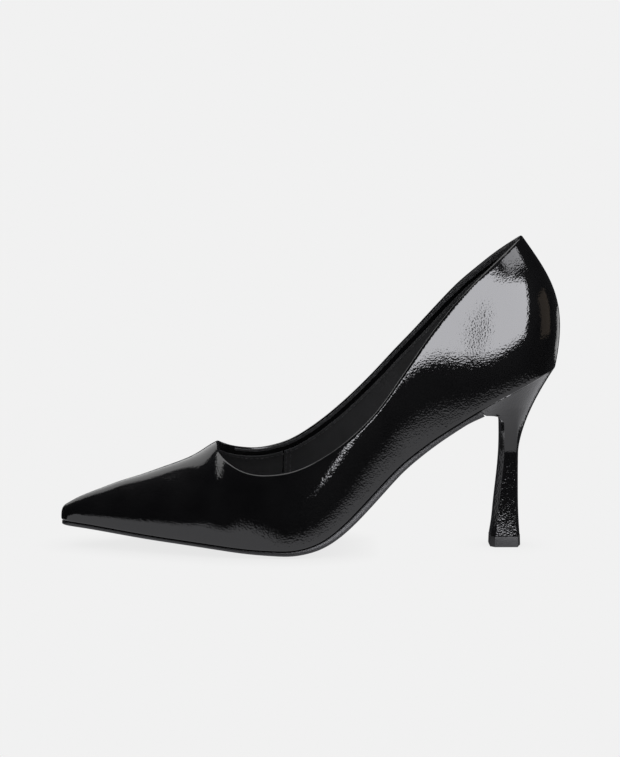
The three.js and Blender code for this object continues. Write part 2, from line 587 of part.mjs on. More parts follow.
// The sections are drawn under a seat of this height, at this x. The shaft keeps their thickness, moves with
// the shoe's length and stretches with the height of its seat.
const DRAWN_SEAT = { x: 241, z: 87.4 };
const SHAFT_X = 219;
const shaftShift = (gradeX - 1) * SHAFT_X;
const stretch = featherZ(gradeX * DRAWN_SEAT.x) / DRAWN_SEAT.z;
const necked = stretch * NECK_HEIGHT;

const CORNER = 0.36; // share of the half loop that the breast takes, from its middle to its corner
// Point of a level section of the shaft: turn 0 is the middle of the breast, 1 the middle of the back, and side
// is 1 on the outer side, as the stations are.
function shaftPoint(turn, z, side) {
  const level = z / stretch;
  const front = shaftFront(level) + shaftShift;
  const back = shaftBack(level) + shaftShift;
  const angle = Math.PI * turn;
  const squareness = THREE.MathUtils.lerp(0.5, 0.95, THREE.MathUtils.smoothstep(turn, 0.2, 0.75));
  const power = (value) => Math.sign(value) * Math.abs(value) ** squareness;
  return vec(
    (front + back) / 2 - ((back - front) / 2) * power(Math.cos(angle)),
    -side * shaftHalf(level) * power(Math.sin(angle)),
    z,
  );
}

// Top edge of the heel at the same turn: across the breast, then along the featherline to the back.
function seatPoint(turn, side) {
  const wing = row(side * HEEL_WING_STATION).foot;
  const other = row(-side * HEEL_WING_STATION).foot;
  if (turn < CORNER) {
    const share = turn / CORNER;
    const middleY = (wing.y + other.y) / 2;
    return vec(wing.x, THREE.MathUtils.lerp(middleY, wing.y, share), 0);
  }
  const along = (turn - CORNER) / (1 - CORNER);
  const at = row(side * THREE.MathUtils.lerp(HEEL_WING_STATION, BACK, along));
  return at.foot.clone().addScaledVector(at.out, -OUTSOLE_INSET);
}

// How fast the seat's outline runs into the shaft: a higher power is a tighter curve.
const BACK_FLARE = 1.65;
const BREAST_FLARE = 3.25;
const SIDE_FLARE = 1.7;
const BREAST_DROP = 11; // the breast's curve ends this far under the outsole
// Column of the heel's outside at a turn: the seat's outline shrinks into the shaft on the way down.
function heelColumn(turn, side, levels) {
  const top = seatPoint(turn, side);
  top.z = featherZ(top.x) - CLEARANCE;
  const breast = 1 - THREE.MathUtils.smoothstep(turn, CORNER - 0.04, CORNER + 0.12);
  const start = top.z - breast * OUTSOLE_T;
  const flareEnd = THREE.MathUtils.lerp(necked, start - BREAST_DROP, breast);
  return levels.map((share) => {
    const z = THREE.MathUtils.lerp(top.z, HEEL_FOOT, share);
    const flare = (end, power) => {
      const q = THREE.MathUtils.clamp((start - z) / (start - end), 0, 1);
      return (1 - q) ** power;
    };
    const onShaft = shaftPoint(turn, z, side);
    const flareX = flare(flareEnd, BACK_FLARE + (BREAST_FLARE - BACK_FLARE) * breast);
    const flareY = flare(necked, SIDE_FLARE);
    // The breast starts square to the outsole that butts against it.
    const startX = top.x + breast * slopeAt(top.x) * Math.min(top.z - z, 1.3 * OUTSOLE_T);
    return vec(
      onShaft.x + (startX - onShaft.x) * flareX,
      onShaft.y + (top.y - onShaft.y) * flareY,
      z,
    );
  });
}

const HEEL_LEVELS = [0, 0.045, 0.09, 0.14, 0.2, 0.28, 0.37, 0.47, 0.6, 0.74, 0.88, 1];
const HEEL_TURNS = [0, 0.12, 0.24, 0.31, CORNER, 0.4, 0.46, 0.54, 0.63, 0.72, 0.81, 0.9, 0.96, 1];
// Grid of the heel's outside over signed turns, sunk square to the surface.
function heelGrid(turns, depth) {
  const lastLevel = HEEL_LEVELS.length - 1;
  return turns.map((turn) => {
    const side = turn < 0 ? -1 : 1;
    const size = Math.abs(turn);
    const column = heelColumn(size, side, HEEL_LEVELS);
    if (depth === 0) return column;
    const next = heelColumn(Math.min(size + 0.01, 1), side, HEEL_LEVELS);
    const before = heelColumn(Math.max(size - 0.01, 0), side, HEEL_LEVELS);
    return column.map((p, k) => {
      const down = column[Math.min(k + 1, lastLevel)].clone().sub(column[Math.max(k - 1, 0)]);
      const inward = next[k].clone().sub(before[k]).cross(down).multiplyScalar(side);
      if (k === 0 || k === lastLevel) inward.setZ(0);
      const sunk = p.clone().addScaledVector(inward.normalize(), depth);
      if (k === 0) sunk.z = featherZ(sunk.x) - CLEARANCE;
      return sunk;
    });
  });
}

// The patent cover runs once round the heel, from the middle of the breast over the back to the breast again.
const ringTurns = [...HEEL_TURNS, ...HEEL_TURNS.slice(1, -1).reverse().map((t) => -t)];
const closedRing = [...ringTurns, ringTurns[0]];
addMesh("heel_cover", geometryOf(
  sheet(heelGrid(closedRing, 0), heelGrid(closedRing, COVER_T), { openStart: true, openEnd: true }),
), PATENT);

// Closed body from a ring of columns with a cap on the first and the last level.
function ringBody(columns) {
  const list = [];
  const count = columns.length;
  const levels = columns[0].length;
  for (let i = 0; i < count; i++) {
    const here = columns[i];
    const next = columns[(i + 1) % count];
    for (let k = 0; k + 1 < levels; k++) list.push(...quad(here[k], here[k + 1], next[k + 1], next[k]));
  }
  // A cap runs across the ring from one side to the other, so it follows a seat that slopes fore and aft.
  for (const k of [0, levels - 1]) {
    for (let i = 0; i < count / 2; i++) {
      const strip = quad(columns[i][k], columns[i + 1][k], columns[(count - 1 - i) % count][k],
        columns[(count - i) % count][k]);
      list.push(...(k === 0 ? strip : flipped(strip)));
    }
  }
  return geometryOf(list);
}
const block = ringBody(heelGrid(ringTurns, COVER_T + CLEARANCE));
const upright = (radius, bottom, top, sides = 16) =>
  new THREE.CylinderGeometry(radius, radius, top - bottom, sides)
    .rotateX(Math.PI / 2).translate(DOWEL_X + shaftShift, 0, (bottom + top) / 2);
const dowelTop = stretch * DOWEL_TOP;
addMesh("heel_block", cut(block, [
  upright(DOWEL_R + CLEARANCE, HEEL_FOOT - 1, dowelTop + CLEARANCE), ...heelFasteners.map(shaftHole),
]), { color: 0x1d1d1f, roughness: 0.5 });
addMesh("heel_dowel", cut(upright(DOWEL_R, HEEL_FOOT, dowelTop), [
  upright(DOWEL_R - DOWEL_WALL, HEEL_FOOT - 1, dowelTop + 1),
]), STEEL);

// Tip: a tread block a little proud of the heel's foot, held by its pin in the dowel.
const TIP_SECTION = [[TIP_HEIGHT, 0.1], [0.6, 0.1 + TIP_PROUD], [0, 0.1 + 0.7 * TIP_PROUD]]; // height, proud
const footLevel = SHAFT_SECTIONS[0][0];
const footCentre = vec((shaftFront(footLevel) + shaftBack(footLevel)) / 2 + shaftShift, 0, 0);
const tipColumn = (turn) => TIP_SECTION.map(([z, proud]) => {
  const out = shaftPoint(Math.abs(turn), HEEL_FOOT, turn < 0 ? -1 : 1).sub(footCentre).setZ(0);
  out.setLength(out.length() + proud);
  return vec(footCentre.x + out.x, footCentre.y + out.y, z);
});
addMesh("top_piece", cut(ringBody(ringTurns.map(tipColumn)), [
  upright(PIN_R + CLEARANCE, PIN_FOOT - CLEARANCE, TIP_HEIGHT + 1, 12),
]), { color: 0x161617, roughness: 0.6 });
addMesh("top_piece_pin", upright(PIN_R, PIN_FOOT, PIN_TOP, 12), STEEL);

// ---- Frame: origin on the ground under the middle of the bounding box ---------------------------------------
const box = new THREE.Box3().setFromObject(shoe);
shoe.position.set(-(box.min.x + box.max.x) / 2, -(box.min.y + box.max.y) / 2, -box.min.z);
const pump = new THREE.Group();
pump.add(shoe);
export default pump;
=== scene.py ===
import math

import bmesh
import bpy
import numpy as np
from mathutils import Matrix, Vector


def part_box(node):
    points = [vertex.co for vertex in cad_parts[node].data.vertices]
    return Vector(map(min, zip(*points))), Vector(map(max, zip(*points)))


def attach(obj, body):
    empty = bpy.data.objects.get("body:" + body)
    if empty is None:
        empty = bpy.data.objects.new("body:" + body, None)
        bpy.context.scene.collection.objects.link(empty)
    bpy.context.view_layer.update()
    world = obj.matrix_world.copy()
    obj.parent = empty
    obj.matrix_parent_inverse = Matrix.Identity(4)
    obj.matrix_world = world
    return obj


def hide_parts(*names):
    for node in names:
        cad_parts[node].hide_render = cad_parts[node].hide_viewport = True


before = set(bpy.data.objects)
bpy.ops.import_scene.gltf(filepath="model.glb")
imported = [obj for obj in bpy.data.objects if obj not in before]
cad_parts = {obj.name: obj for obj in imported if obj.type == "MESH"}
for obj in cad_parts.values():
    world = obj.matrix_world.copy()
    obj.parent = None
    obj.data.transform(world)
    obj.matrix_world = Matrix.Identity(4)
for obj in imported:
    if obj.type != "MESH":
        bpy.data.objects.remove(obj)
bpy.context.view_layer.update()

# ---- Driving sizes in millimetres, as the CAD has them ---------------------------
LENGTH = 244.0
BALL_WIDTH = 72.6
HEEL_RISE = 84.0
BASE_LENGTH, BASE_BALL_WIDTH, BASE_HEEL_RISE = 244.0, 72.6, 84.0  # of the last that the tables describe
GRADE_X = LENGTH / BASE_LENGTH
GRADE_Y = BALL_WIDTH / BASE_BALL_WIDTH
GRADE_RISE = HEEL_RISE / BASE_HEEL_RISE
OUTSOLE_T = 2.2
WAIST_SWELL = 1.1
TREAD_CROWN = 2.0
PRESSED_FLAT = 0.6
CLEARANCE = 0.3
UPPER_T = 1.2
LINING_T = 0.7
GRIP_T = 0.6
COVER_T = 0.6
LASTING_MARGIN = 12.0
TIP_HEIGHT = 5.2
NECK_HEIGHT = 46.0
SHAFT_AXIS_X = 218.9
SHAFT_SHIFT = (GRADE_X - 1) * 219.0  # the heel's shaft moves as a whole when the shoe is graded

# Stations along the last, where a piece starts or ends.
THROAT = 10
LINING_START = 2.8
LINING_JOINT = 14.4
INSOCK_START = 5.0
FOREPART_PAD = (5.5, 15.4)
HEEL_PAD_START = 22.6
HEEL_WING_STATION = 22.4
GRIP_START = 23.2

# Finishing sizes of the visible edges.
LIP_R = 0.8  # the folded topline is two skived layers of leather
FOLD_WIDTH = 4.0  # patent turned in along the topline
WELT_R = 1.0  # the upper turns under the foot with this radius
SEAM_DEPTH = 0.35
SEAM_WIDTH = 0.45
SOLE_INSET = 0.5
ARCH_LIP = 1.0  # how far the outsole's end hangs under its own thickness, into the heel's arch
ARCH_RUN = 9.0  # length over which it comes to hang
STITCH_PITCH = 2.6
STITCH_LENGTH = 2.0
THREAD_R = 0.2
STITCH_INSET = 1.3  # from the lining's edge

# Depths under the last's surface and lifts over the sole.
LINING_DEPTH = 2 * LIP_R + 0.05
LINING_SINK = 0.9  # the lining sinks this much deeper, away from the fold
SINK_RUN = (0.5, 16.0)  # distances from the fold over which it does
LINING_LIFT = 1.5
INSOCK_DEPTH = 3.35
INSOCK_LIFT = 6.9
INSOCK_TOP = 7.9
PAD_BOTTOM = 4.7
PAD_TOP = 6.6

MM = 0.001
dowel_low, dowel_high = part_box("heel_dowel")
SHIFT = np.array([
    (dowel_low.x + dowel_high.x) / 2 / MM - (SHAFT_AXIS_X + SHAFT_SHIFT),
    (dowel_low.y + dowel_high.y) / 2 / MM,
    0.0,
])


# ---- The last: tables and splines ------------------------------------------------
def curve_through(points):
    """Natural cubic spline through (x, y) points, straight beyond both ends."""
    x, y = np.array(points, float).T
    count = len(x)
    span = np.diff(x)
    slope = np.diff(y) / span
    matrix = np.eye(count)
    right = np.zeros(count)
    for i in range(1, count - 1):
        matrix[i, i - 1:i + 2] = span[i - 1], 2 * (span[i - 1] + span[i]), span[i]
        right[i] = 6 * (slope[i] - slope[i - 1])
    bend = np.linalg.solve(matrix, right)

    def value(at):
        inside = np.clip(at, x[0], x[-1])
        i = np.clip(np.searchsorted(x, inside) - 1, 0, count - 2)
        b = (inside - x[i]) / span[i]
        a = 1 - b
        curved = ((a ** 3 - a) * bend[i] + (b ** 3 - b) * bend[i + 1]) * span[i] ** 2 / 6
        end_slope = slope[i] + ((1 - 3 * a * a) * bend[i] + (3 * b * b - 1) * bend[i + 1]) * span[i] / 6
        return a * y[i] + b * y[i + 1] + curved + end_slope * (at - inside)

    return value


feather_rise = curve_through([
    (0, 9), (12, 8.3), (27, 6.9), (45, 5.1), (62, 3.7), (78, 2.2), (92, 0.8), (105, 0.1), (113, 0.15),
    (120, 1.4), (127, 4), (134, 8.5), (141, 14.6), (148, 21.7), (156, 30.2), (164, 38.4), (172, 45.1),
    (180, 51), (190, 57.6), (200, 63.9), (210, 69.8), (222, 75.7), (232, 80.4), (241, 84),
])
top_height = curve_through([
    (2.4, 8.1), (7, 10.9), (13, 13.9), (19, 16.7), (29, 21.4), (38.5, 25.3), (48, 29.5), (58, 33.9),
    (67, 38.9), (72.5, 43), (76, 45.3), (81, 47.6), (88, 50.2), (98, 53.3), (110, 56), (122, 57.5),
    (137, 60), (155, 61.5), (172, 64.5), (188, 70), (200, 75.3), (208, 77.9), (214, 79.2), (220, 79.6),
])
rim_outer = curve_through([
    (76, 45.3), (77, 43.3), (78.5, 41.6), (80, 40.5), (84, 38.4), (88.7, 36.9), (94.3, 36.2),
    (101.7, 36.4), (110, 37.6), (119, 39.2), (128.5, 40.3), (137, 39.7), (146, 38.6), (155, 38.5),
    (164, 41.7), (176, 49.7), (185, 55.6), (194, 60.4), (203.6, 64.1), (210, 66.3), (216, 68.7),
    (224.2, 71.7), (241, 78),
])
rim_inner = curve_through([
    (76, 45.3), (77.2, 44.2), (79, 43.2), (82, 42.1), (87, 41), (93, 40.5), (98, 40.9), (107, 43.1),
    (117, 46.9), (127, 50.4), (137, 51.6), (147, 51.2), (157, 50.9), (167, 52), (177, 55), (187, 59.4),
    (196, 63.3), (206, 66.2), (215, 69), (224.2, 71.7), (241, 78),
])
tread_crown = curve_through([
    (0, 0), (20, 0.2), (50, 0.8), (85, 1), (115, 1), (135, 0.5), (155, 0.12), (175, 0), (241, 0),
])
waist_swell = curve_through([(0, 0), (100, 0), (118, 0.4), (132, 1), (165, 1), (190, 0.4), (210, 0.2)])

COLUMNS = [
    "x", "outer", "inner", "middle", "top", "top_outer", "top_inner",
    "lean_outer", "lean_inner", "lean_top", "foot", "head",
]
STATIONS = np.array([
    [-1.1, 0, 0, 9, 1.9, 0, 0, 1, 1, 90, 0.56, 0.36],
    [1, -3.8, 3.4, 9.2, 3.4, 0, 0, 2, 2, 90, 0.55, 0.36],
    [3.5, -6, 5.6, 10, 5.6, 0, 0, 3, 3, 90, 0.53, 0.37],
    [9, -8.6, 8.4, 12.5, 10.2, 0, 0, 4, 4, 90, 0.52, 0.37],
    [17, -12, 12.4, 18.5, 17.5, 0, 0, 5, 5, 90, 0.52, 0.39],
    [28, -16.4, 17.6, 28, 28, 0, 0, 5, 5, 90, 0.52, 0.41],
    [40, -20.9, 23, 40, 40, 0, 0, 5, 5, 90, 0.52, 0.42],
    [52, -25.2, 28.2, 52, 52, 0, 0, 5, 5, 90, 0.52, 0.42],
    [62, -28.6, 31.8, 62, 62, 0, 0, 5, 5, 90, 0.51, 0.41],
    [70, -31, 34, 70, 70, 0, 0, 6, 5, 90, 0.5, 0.4],
    [76, -32.6, 35.2, 76, 76, 0, 0, 6, 6, 90, 0.5, 0.39],
    [82, -33.9, 36, 82, 82, 0, 0, 7, 6, 90, 0.48, 0.37],
    [88, -34.9, 36.3, 88, 88, -9, 8, 7, 6, 72, 0.46, 0.35],
    [95, -35.7, 35.8, 95, 95, -17, 15, 8, 7, 53, 0.43, 0.34],
    [104, -36.3, 33.8, 104, 104, -23, 20.5, 8, 9, 38, 0.41, 0.33],
    [115, -36.2, 30, 115, 115, -27, 24, 8, 14, 27, 0.39, 0.33],
    [127, -34.4, 25.2, 127, 127, -29, 26, 8, 21, 20, 0.38, 0.33],
    [139, -31, 21.2, 139, 139, -29.2, 26.6, 9, 26, 15, 0.36, 0.33],
    [151, -28, 18.8, 151, 150.5, -28.6, 26.4, 9, 27, 12, 0.34, 0.33],
    [163, -25.8, 18, 163, 162, -27.6, 25.8, 9, 25, 10, 0.34, 0.33],
    [175, -24.4, 18.6, 175, 173.5, -26.2, 24.8, 9, 20, 10, 0.35, 0.33],
    [187, -23.8, 20.4, 187, 184.5, -24, 23, 8, 15, 11, 0.37, 0.34],
    [199, -24.1, 22.8, 199, 195, -20.8, 20, 8, 11, 13, 0.4, 0.35],
    [211, -24.6, 24.3, 209, 204, -16, 15.6, 8, 9, 18, 0.43, 0.37],
    [222, -23, 23, 214.5, 211, -11.4, 11.2, 9, 9, 24, 0.46, 0.39],
    [231, -18.6, 18.6, 218, 215.5, -7, 7, 10, 10, 30, 0.49, 0.41],
    [238, -10.8, 10.8, 220, 218.8, -3.4, 3.4, 11, 11, 34, 0.51, 0.42],
    [243.1, 0, 0, 220.6, 221, 0, 0, 11.5, 11.5, 36, 0.52, 0.43],
])
BACK = len(STATIONS) - 1
# Stations once round the shoe: the outer side counts up to the back, the inner side counts on to the toe.
LOOP = 2 * BACK


def station_value(station, outer, inner=None):
    """One column of the station table as a closed uniform cubic B-spline."""
    cells = np.concatenate([
        STATIONS[:BACK, COLUMNS.index(outer)],
        STATIONS[:0:-1, COLUMNS.index(inner or outer)],
    ])
    i = np.floor(station).astype(int)
    t = station - i
    weights = [(1 - t) ** 3, 3 * t ** 3 - 6 * t ** 2 + 4, -3 * t ** 3 + 3 * t ** 2 + 3 * t + 1, t ** 3]
    return sum(weight * cells[(i - 1 + k) % LOOP] for k, weight in enumerate(weights)) / 6


def points(x, y, z):
    return np.stack(np.broadcast_arrays(x, y, z), axis=-1)


def unit(vectors):
    return vectors / np.maximum(np.linalg.norm(vectors, axis=-1, keepdims=True), 1e-12)


LOWEST_FEATHER = OUTSOLE_T + TREAD_CROWN - PRESSED_FLAT


def feather_z(x):
    return LOWEST_FEATHER + GRADE_RISE * feather_rise(x / GRADE_X)


def top_z(x):
    return feather_z(x) + top_height(x / GRADE_X)


def slope_at(x):
    return feather_z(x + 0.5) - feather_z(x - 0.5)


def up_at(x):
    return unit(points(-slope_at(x), 0, 1))


def side_share(station):
    """1 on the outer side, 0 on the inner side, blended over one station at the back."""
    return np.clip((BACK + 0.5 - station % LOOP), 0, 1)


def is_closed_row(station):
    """Rows of the vamp end on its ridge, where both sides meet. The others end on the topline."""
    around = station % LOOP
    return (around <= THROAT) | (around >= LOOP - THROAT)


def profile(station):
    """The four handles of each row's wall profile, its way outwards and its reach from the middle."""
    x = GRADE_X * station_value(station, "x")
    foot = points(x, GRADE_Y * station_value(station, "outer", "inner"), feather_z(x))
    opposite = GRADE_Y * station_value(-station, "outer", "inner")
    middle = points(GRADE_X * station_value(station, "middle"), (foot[..., 1] + opposite) / 2, 0)
    top_x = GRADE_X * station_value(station, "top")
    top = points(top_x, GRADE_Y * station_value(station, "top_outer", "top_inner"), top_z(top_x))
    out = foot - middle
    out[..., 2] = 0
    reach = np.linalg.norm(out, axis=-1)
    out = out / reach[..., None]
    height = (top - foot)[..., 2]
    lean = np.radians(station_value(station, "lean_outer", "lean_inner"))
    lean_top = np.radians(station_value(station, "lean_top"))
    ridge_slope = np.where(is_closed_row(station), top_z(top_x + 0.5) - top_z(top_x - 0.5), 0)
    low = foot + (height * station_value(station, "foot"))[..., None] * points(
        out[..., 0] * np.sin(lean), out[..., 1] * np.sin(lean), np.cos(lean))
    inward = unit(points(
        out[..., 0] * np.sin(lean_top), out[..., 1] * np.sin(lean_top),
        out[..., 0] * ridge_slope * np.sin(lean_top) - np.cos(lean_top)))
    high = top + (height * station_value(station, "head"))[..., None] * inward
    return {"foot": foot, "low": low, "high": high, "top": top, "out": out, "reach": reach}


def on_profile(row, share):
    """Points of the rows at shares of their profiles: share holds one value or one column for each row."""
    foot, low, high, top = (row[k][:, None, :] for k in ("foot", "low", "high", "top"))
    t = share[..., None]
    return (1 - t) ** 3 * foot + 3 * (1 - t) ** 2 * t * low + 3 * (1 - t) * t ** 2 * high + t ** 3 * top


def profile_rate(row, share):
    foot, low, high, top = (row[k][:, None, :] for k in ("foot", "low", "high", "top"))
    t = share[..., None]
    return 3 * ((1 - t) ** 2 * (low - foot) + 2 * (1 - t) * t * (high - low) + t ** 2 * (top - high))


def wall(station, share, depth=0.0):
    """Points of the last's wall, sunk by a depth under its surface. share is (rows, columns)."""
    row = profile(station)
    surface = on_profile(row, share)
    if np.all(np.asarray(depth) == 0):
        return surface
    return surface - np.asarray(depth)[..., None] * wall_normal(station, share)


def wall_normal(station, share):
    step = 0.02
    along = on_profile(profile(station + step), share) - on_profile(profile(station - step), share)
    return unit(np.cross(along, profile_rate(profile(station), np.minimum(share, 0.999))))


def bisect(over, low, high, steps=34):
    """Where a growing function of arrays passes zero."""
    low = low.copy()
    high = high.copy()
    for _ in range(steps):
        middle = (low + high) / 2
        below = over(middle) < 0
        low = np.where(below, middle, low)
        high = np.where(below, high, middle)
    return (low + high) / 2


def rim_share(station):
    """Share of each row's profile that lies under the topline, which the fold then raises by its radius."""
    row = profile(station)
    outer = side_share(station)

    def over(share):
        p = on_profile(row, share[:, None])[:, 0]
        x = p[:, 0] / GRADE_X
        rim = outer * rim_outer(x) + (1 - outer) * rim_inner(x)
        fold = LIP_R * (1 - np.exp(-np.maximum(x - STATIONS[THROAT, 0], 0) / 3))
        return p[:, 2] - feather_z(p[:, 0]) - rim + fold

    found = bisect(over, np.full(len(station), 0.1), np.ones(len(station)))
    return np.where(is_closed_row(station), 1.0, found)


def sole_point(station, inset, lift):
    """Points under the foot, inset from the featherline and lifted along the sole's normal."""
    row = profile(station)
    along = np.minimum(inset / row["reach"][:, None], 1)
    xy = row["foot"][:, None, :2] - row["out"][:, None, :2] * (along * row["reach"][:, None])[..., None]
    x = xy[..., 0]
    drop = TREAD_CROWN * tread_crown(x / GRADE_X) * (1 - (1 - along) ** 2)
    return points(x, xy[..., 1], feather_z(x) - drop) + np.asarray(lift)[..., None] * up_at(x)


# ---- Meshes from grids -----------------------------------------------------------
def add_piece(name, vertices, faces, material, smooth_angle=40):
    """A mesh object in the frame from points in millimetres, welded, closed and turned outwards."""
    mesh = bpy.data.meshes.new(name)
    mesh.from_pydata(((np.asarray(vertices) + SHIFT) * MM).tolist(), [], faces)
    made = bmesh.new()
    made.from_mesh(mesh)
    bmesh.ops.remove_doubles(made, verts=made.verts, dist=2e-6)
    bmesh.ops.dissolve_degenerate(made, edges=made.edges, dist=1e-7)
    bmesh.ops.recalc_face_normals(made, faces=made.faces)
    made.to_mesh(mesh)
    made.free()
    mesh.materials.append(material)
    mesh.shade_smooth()
    mesh.set_sharp_from_angle(angle=math.radians(smooth_angle))
    piece = bpy.data.objects.new(name, mesh)
    bpy.context.scene.collection.objects.link(piece)
    return piece


def strip_faces(first, second, wrap=False):
    """Quads between two equally long lists of vertex numbers."""
    count = len(first)
    last = count if wrap else count - 1
    return [
        (int(first[i]), int(second[i]), int(second[(i + 1) % count]), int(first[(i + 1) % count]))
        for i in range(last)
    ]


def edge_round(face_edge, back_edge, out, steps=5):
    """Half-round points from a sheet's face to its back, bulging along out. Shape (rows, steps, 3)."""
    centre = (face_edge + back_edge) / 2
    arm = (face_edge - back_edge) / 2
    radius = np.linalg.norm(arm, axis=-1, keepdims=True)
    angles = np.linspace(0, math.pi, steps + 2)[1:-1]
    return np.stack([centre + arm * math.cos(a) + out * radius * math.sin(a) for a in angles], axis=1)


def sheet_piece(name, face, back, material, top_out=None, open_top=None, closed=False, **options):
    """A closed sheet between two grids (rows, columns, 3). Its top edge is half round along top_out. Rows
    marked in open_top meet their mirrored rows there instead."""
    rows, columns, _ = face.shape
    if top_out is None:
        top_out = unit(face[:, -1] - face[:, -2])
    if open_top is None:
        open_top = np.zeros(rows, bool)
    arcs = edge_round(face[:, -1], back[:, -1], top_out)
    vertices = np.concatenate([face.reshape(-1, 3), back.reshape(-1, 3), arcs.reshape(-1, 3)])
    f = np.arange(rows * columns).reshape(rows, columns)
    b = f + rows * columns
    a = np.arange(arcs.shape[0] * arcs.shape[1]).reshape(arcs.shape[:2]) + 2 * rows * columns
    section = np.concatenate([f, a, b[:, ::-1]], axis=1)
    faces = []
    for i in range(rows if closed else rows - 1):
        j = (i + 1) % rows
        faces += strip_faces(f[i], f[j])
        faces += strip_faces(b[j], b[i])
        faces.append((int(b[i, 0]), int(f[i, 0]), int(f[j, 0]), int(b[j, 0])))
        if not (open_top[i] and open_top[j]):
            faces += strip_faces(section[i, columns - 1:-columns + 1], section[j, columns - 1:-columns + 1])
    if not closed:
        for i, turned in ((0, False), (rows - 1, True)):
            cap = strip_faces(f[i], b[i])
            if not open_top[i]:
                cap.append(tuple(int(k) for k in section[i, columns - 1:-columns + 1]))
            faces += [c[::-1] for c in cap] if turned else cap
    return add_piece(name, vertices, faces, material, **options)


def tube_piece(name, loops, material, start_cap=True, end_cap=True, **options):
    """A closed body from cross-section loops (rows, around, 3), with a cap across each end."""
    rows, around, _ = loops.shape
    number = np.arange(rows * around).reshape(rows, around)
    faces = []
    for i in range(rows - 1):
        faces += strip_faces(number[i], number[i + 1], wrap=True)
    half = around // 2
    for row, wanted in ((0, start_cap), (rows - 1, end_cap)):
        if wanted:
            faces += strip_faces(number[row, :half], number[row, ::-1][:half])
    return add_piece(name, loops.reshape(-1, 3), faces, material, **options)


# ---- Rows of the shoe ------------------------------------------------------------
def half_rows():
    """Stations of one side: dense where the topline leaves the throat and along the back seam."""
    vamp = np.linspace(0, THROAT, 101)
    turn = THROAT + 1.5 * np.linspace(0, 1, 17)[1:] ** 2
    side = np.arange(THROAT + 1.6, BACK - 0.25, 0.1)
    seam = BACK - np.array([0.16, 0.1, 0.06, 0.035, 0.015, 0.0])
    return np.concatenate([vamp, turn, side, seam])


HALF = half_rows()
RING = np.concatenate([HALF, (LOOP - HALF[-2:0:-1])])
RIM = rim_share(RING)
RING_CLOSED = is_closed_row(RING)


def curve_sides(path, normals):
    """Directions square to a closed path within its surface, pointing out of the leather."""
    along = np.roll(path, -1, axis=0) - np.roll(path, 1, axis=0)
    return unit(np.cross(unit(along), normals))


open_rows = np.where((RING >= THROAT) & (RING <= LOOP - THROAT))[0]
EDGE_STATIONS = RING[open_rows]
EDGE = wall(EDGE_STATIONS, RIM[open_rows][:, None])[:, 0]


def distance_to_topline(p):
    flat = p.reshape(-1, 3)
    best = np.full(len(flat), 1e9)
    for k in range(0, len(EDGE) - 1):
        a = EDGE[k]
        ab = EDGE[k + 1] - a
        t = np.clip(((flat - a) @ ab) / max(ab @ ab, 1e-12), 0, 1)
        best = np.minimum(best, np.linalg.norm(flat - (a + t[:, None] * ab), axis=1))
    return best.reshape(p.shape[:-1])


def seam_groove(station):
    """Depth of the closed back seam, by the distance of a station from the back."""
    millimetres_each = 9.0
    away = np.abs(station % LOOP - BACK) * millimetres_each
    return SEAM_DEPTH * np.exp(-((away / SEAM_WIDTH) ** 2))


def smooth_step(value, low, high):
    t = np.clip((value - low) / (high - low), 0, 1)
    return t * t * (3 - 2 * t)


WALL_COLUMNS = 44


def wall_shares(station, rim, columns):
    """Shares of each row's profile, from the turn at the featherline up to the rim."""
    rate = np.linalg.norm(profile_rate(profile(station), np.zeros((len(station), 1)))[:, 0], axis=-1)
    start = (WELT_R / rate)[:, None]
    return start + (rim[:, None] - start) * np.linspace(0, 1, columns)[None, :]


def corner_and_wall(station, rim, depths, lift, columns=WALL_COLUMNS):
    """Grid of one leather layer: lasting margin, rounded turn at the featherline, wall up to the rim."""
    up = wall(station, wall_shares(station, rim, columns), depths)
    under_start = depths[:, :1] + WELT_R
    lifts = np.full(under_start.shape, float(lift))
    under = sole_point(station, under_start, lifts)
    corner = sole_point(station, depths[:, :1], lifts)
    turn = np.linspace(0, 1, 7)[1:-1][None, :, None]
    rounded = (1 - turn) ** 2 * under + 2 * (1 - turn) * turn * corner + turn ** 2 * up[:, :1]
    # In the narrow toe the margin stops short of the middle.
    edge = np.minimum(LASTING_MARGIN, 0.72 * profile(station)["reach"])[:, None]
    inside = edge + (under_start - edge) * np.linspace(0, 1, 5)[None, :-1]
    margin = sole_point(station, inside, np.full(inside.shape, float(lift)))
    return np.concatenate([margin, under, rounded, up], axis=1)


# ---- Finishes --------------------------------------------------------------------
def linear(hex_colour):
    """sRGB hex to the linear colour that the shaders take."""
    channels = [int(hex_colour[i:i + 2], 16) / 255 for i in (1, 3, 5)]
    return tuple(c / 12.92 if c <= 0.04045 else ((c + 0.055) / 1.055) ** 2.4 for c in channels) + (1.0,)


def add_node(tree, kind, inputs=None, **settings):
    """Adds a node with its settings. An input is a value or another node's output, by name or by number."""
    made = tree.nodes.new(kind)
    for name, value in settings.items():
        setattr(made, name, value)
    for key, value in (inputs or {}).items():
        if isinstance(value, bpy.types.NodeSocket):
            tree.links.new(value, made.inputs[key])
        else:
            made.inputs[key].default_value = value
    return made


def start_finish(name, **sockets):
    """A new material with its shader's own sockets set, and the place on the piece in metres."""
    material = bpy.data.materials.new(name)
    material.use_nodes = True
    tree = material.node_tree
    for key, value in sockets.items():
        tree.nodes["Principled BSDF"].inputs[key.replace("_", " ")].default_value = value
    return material, tree, add_node(tree, "ShaderNodeTexCoord").outputs["Object"]


WAVES = 20  # a wave texture draws about this many bands in one unit of its scale


def per_metre(millimetres):
    """Texture scale whose pattern repeats about once in this many millimetres."""
    return 1000 / millimetres


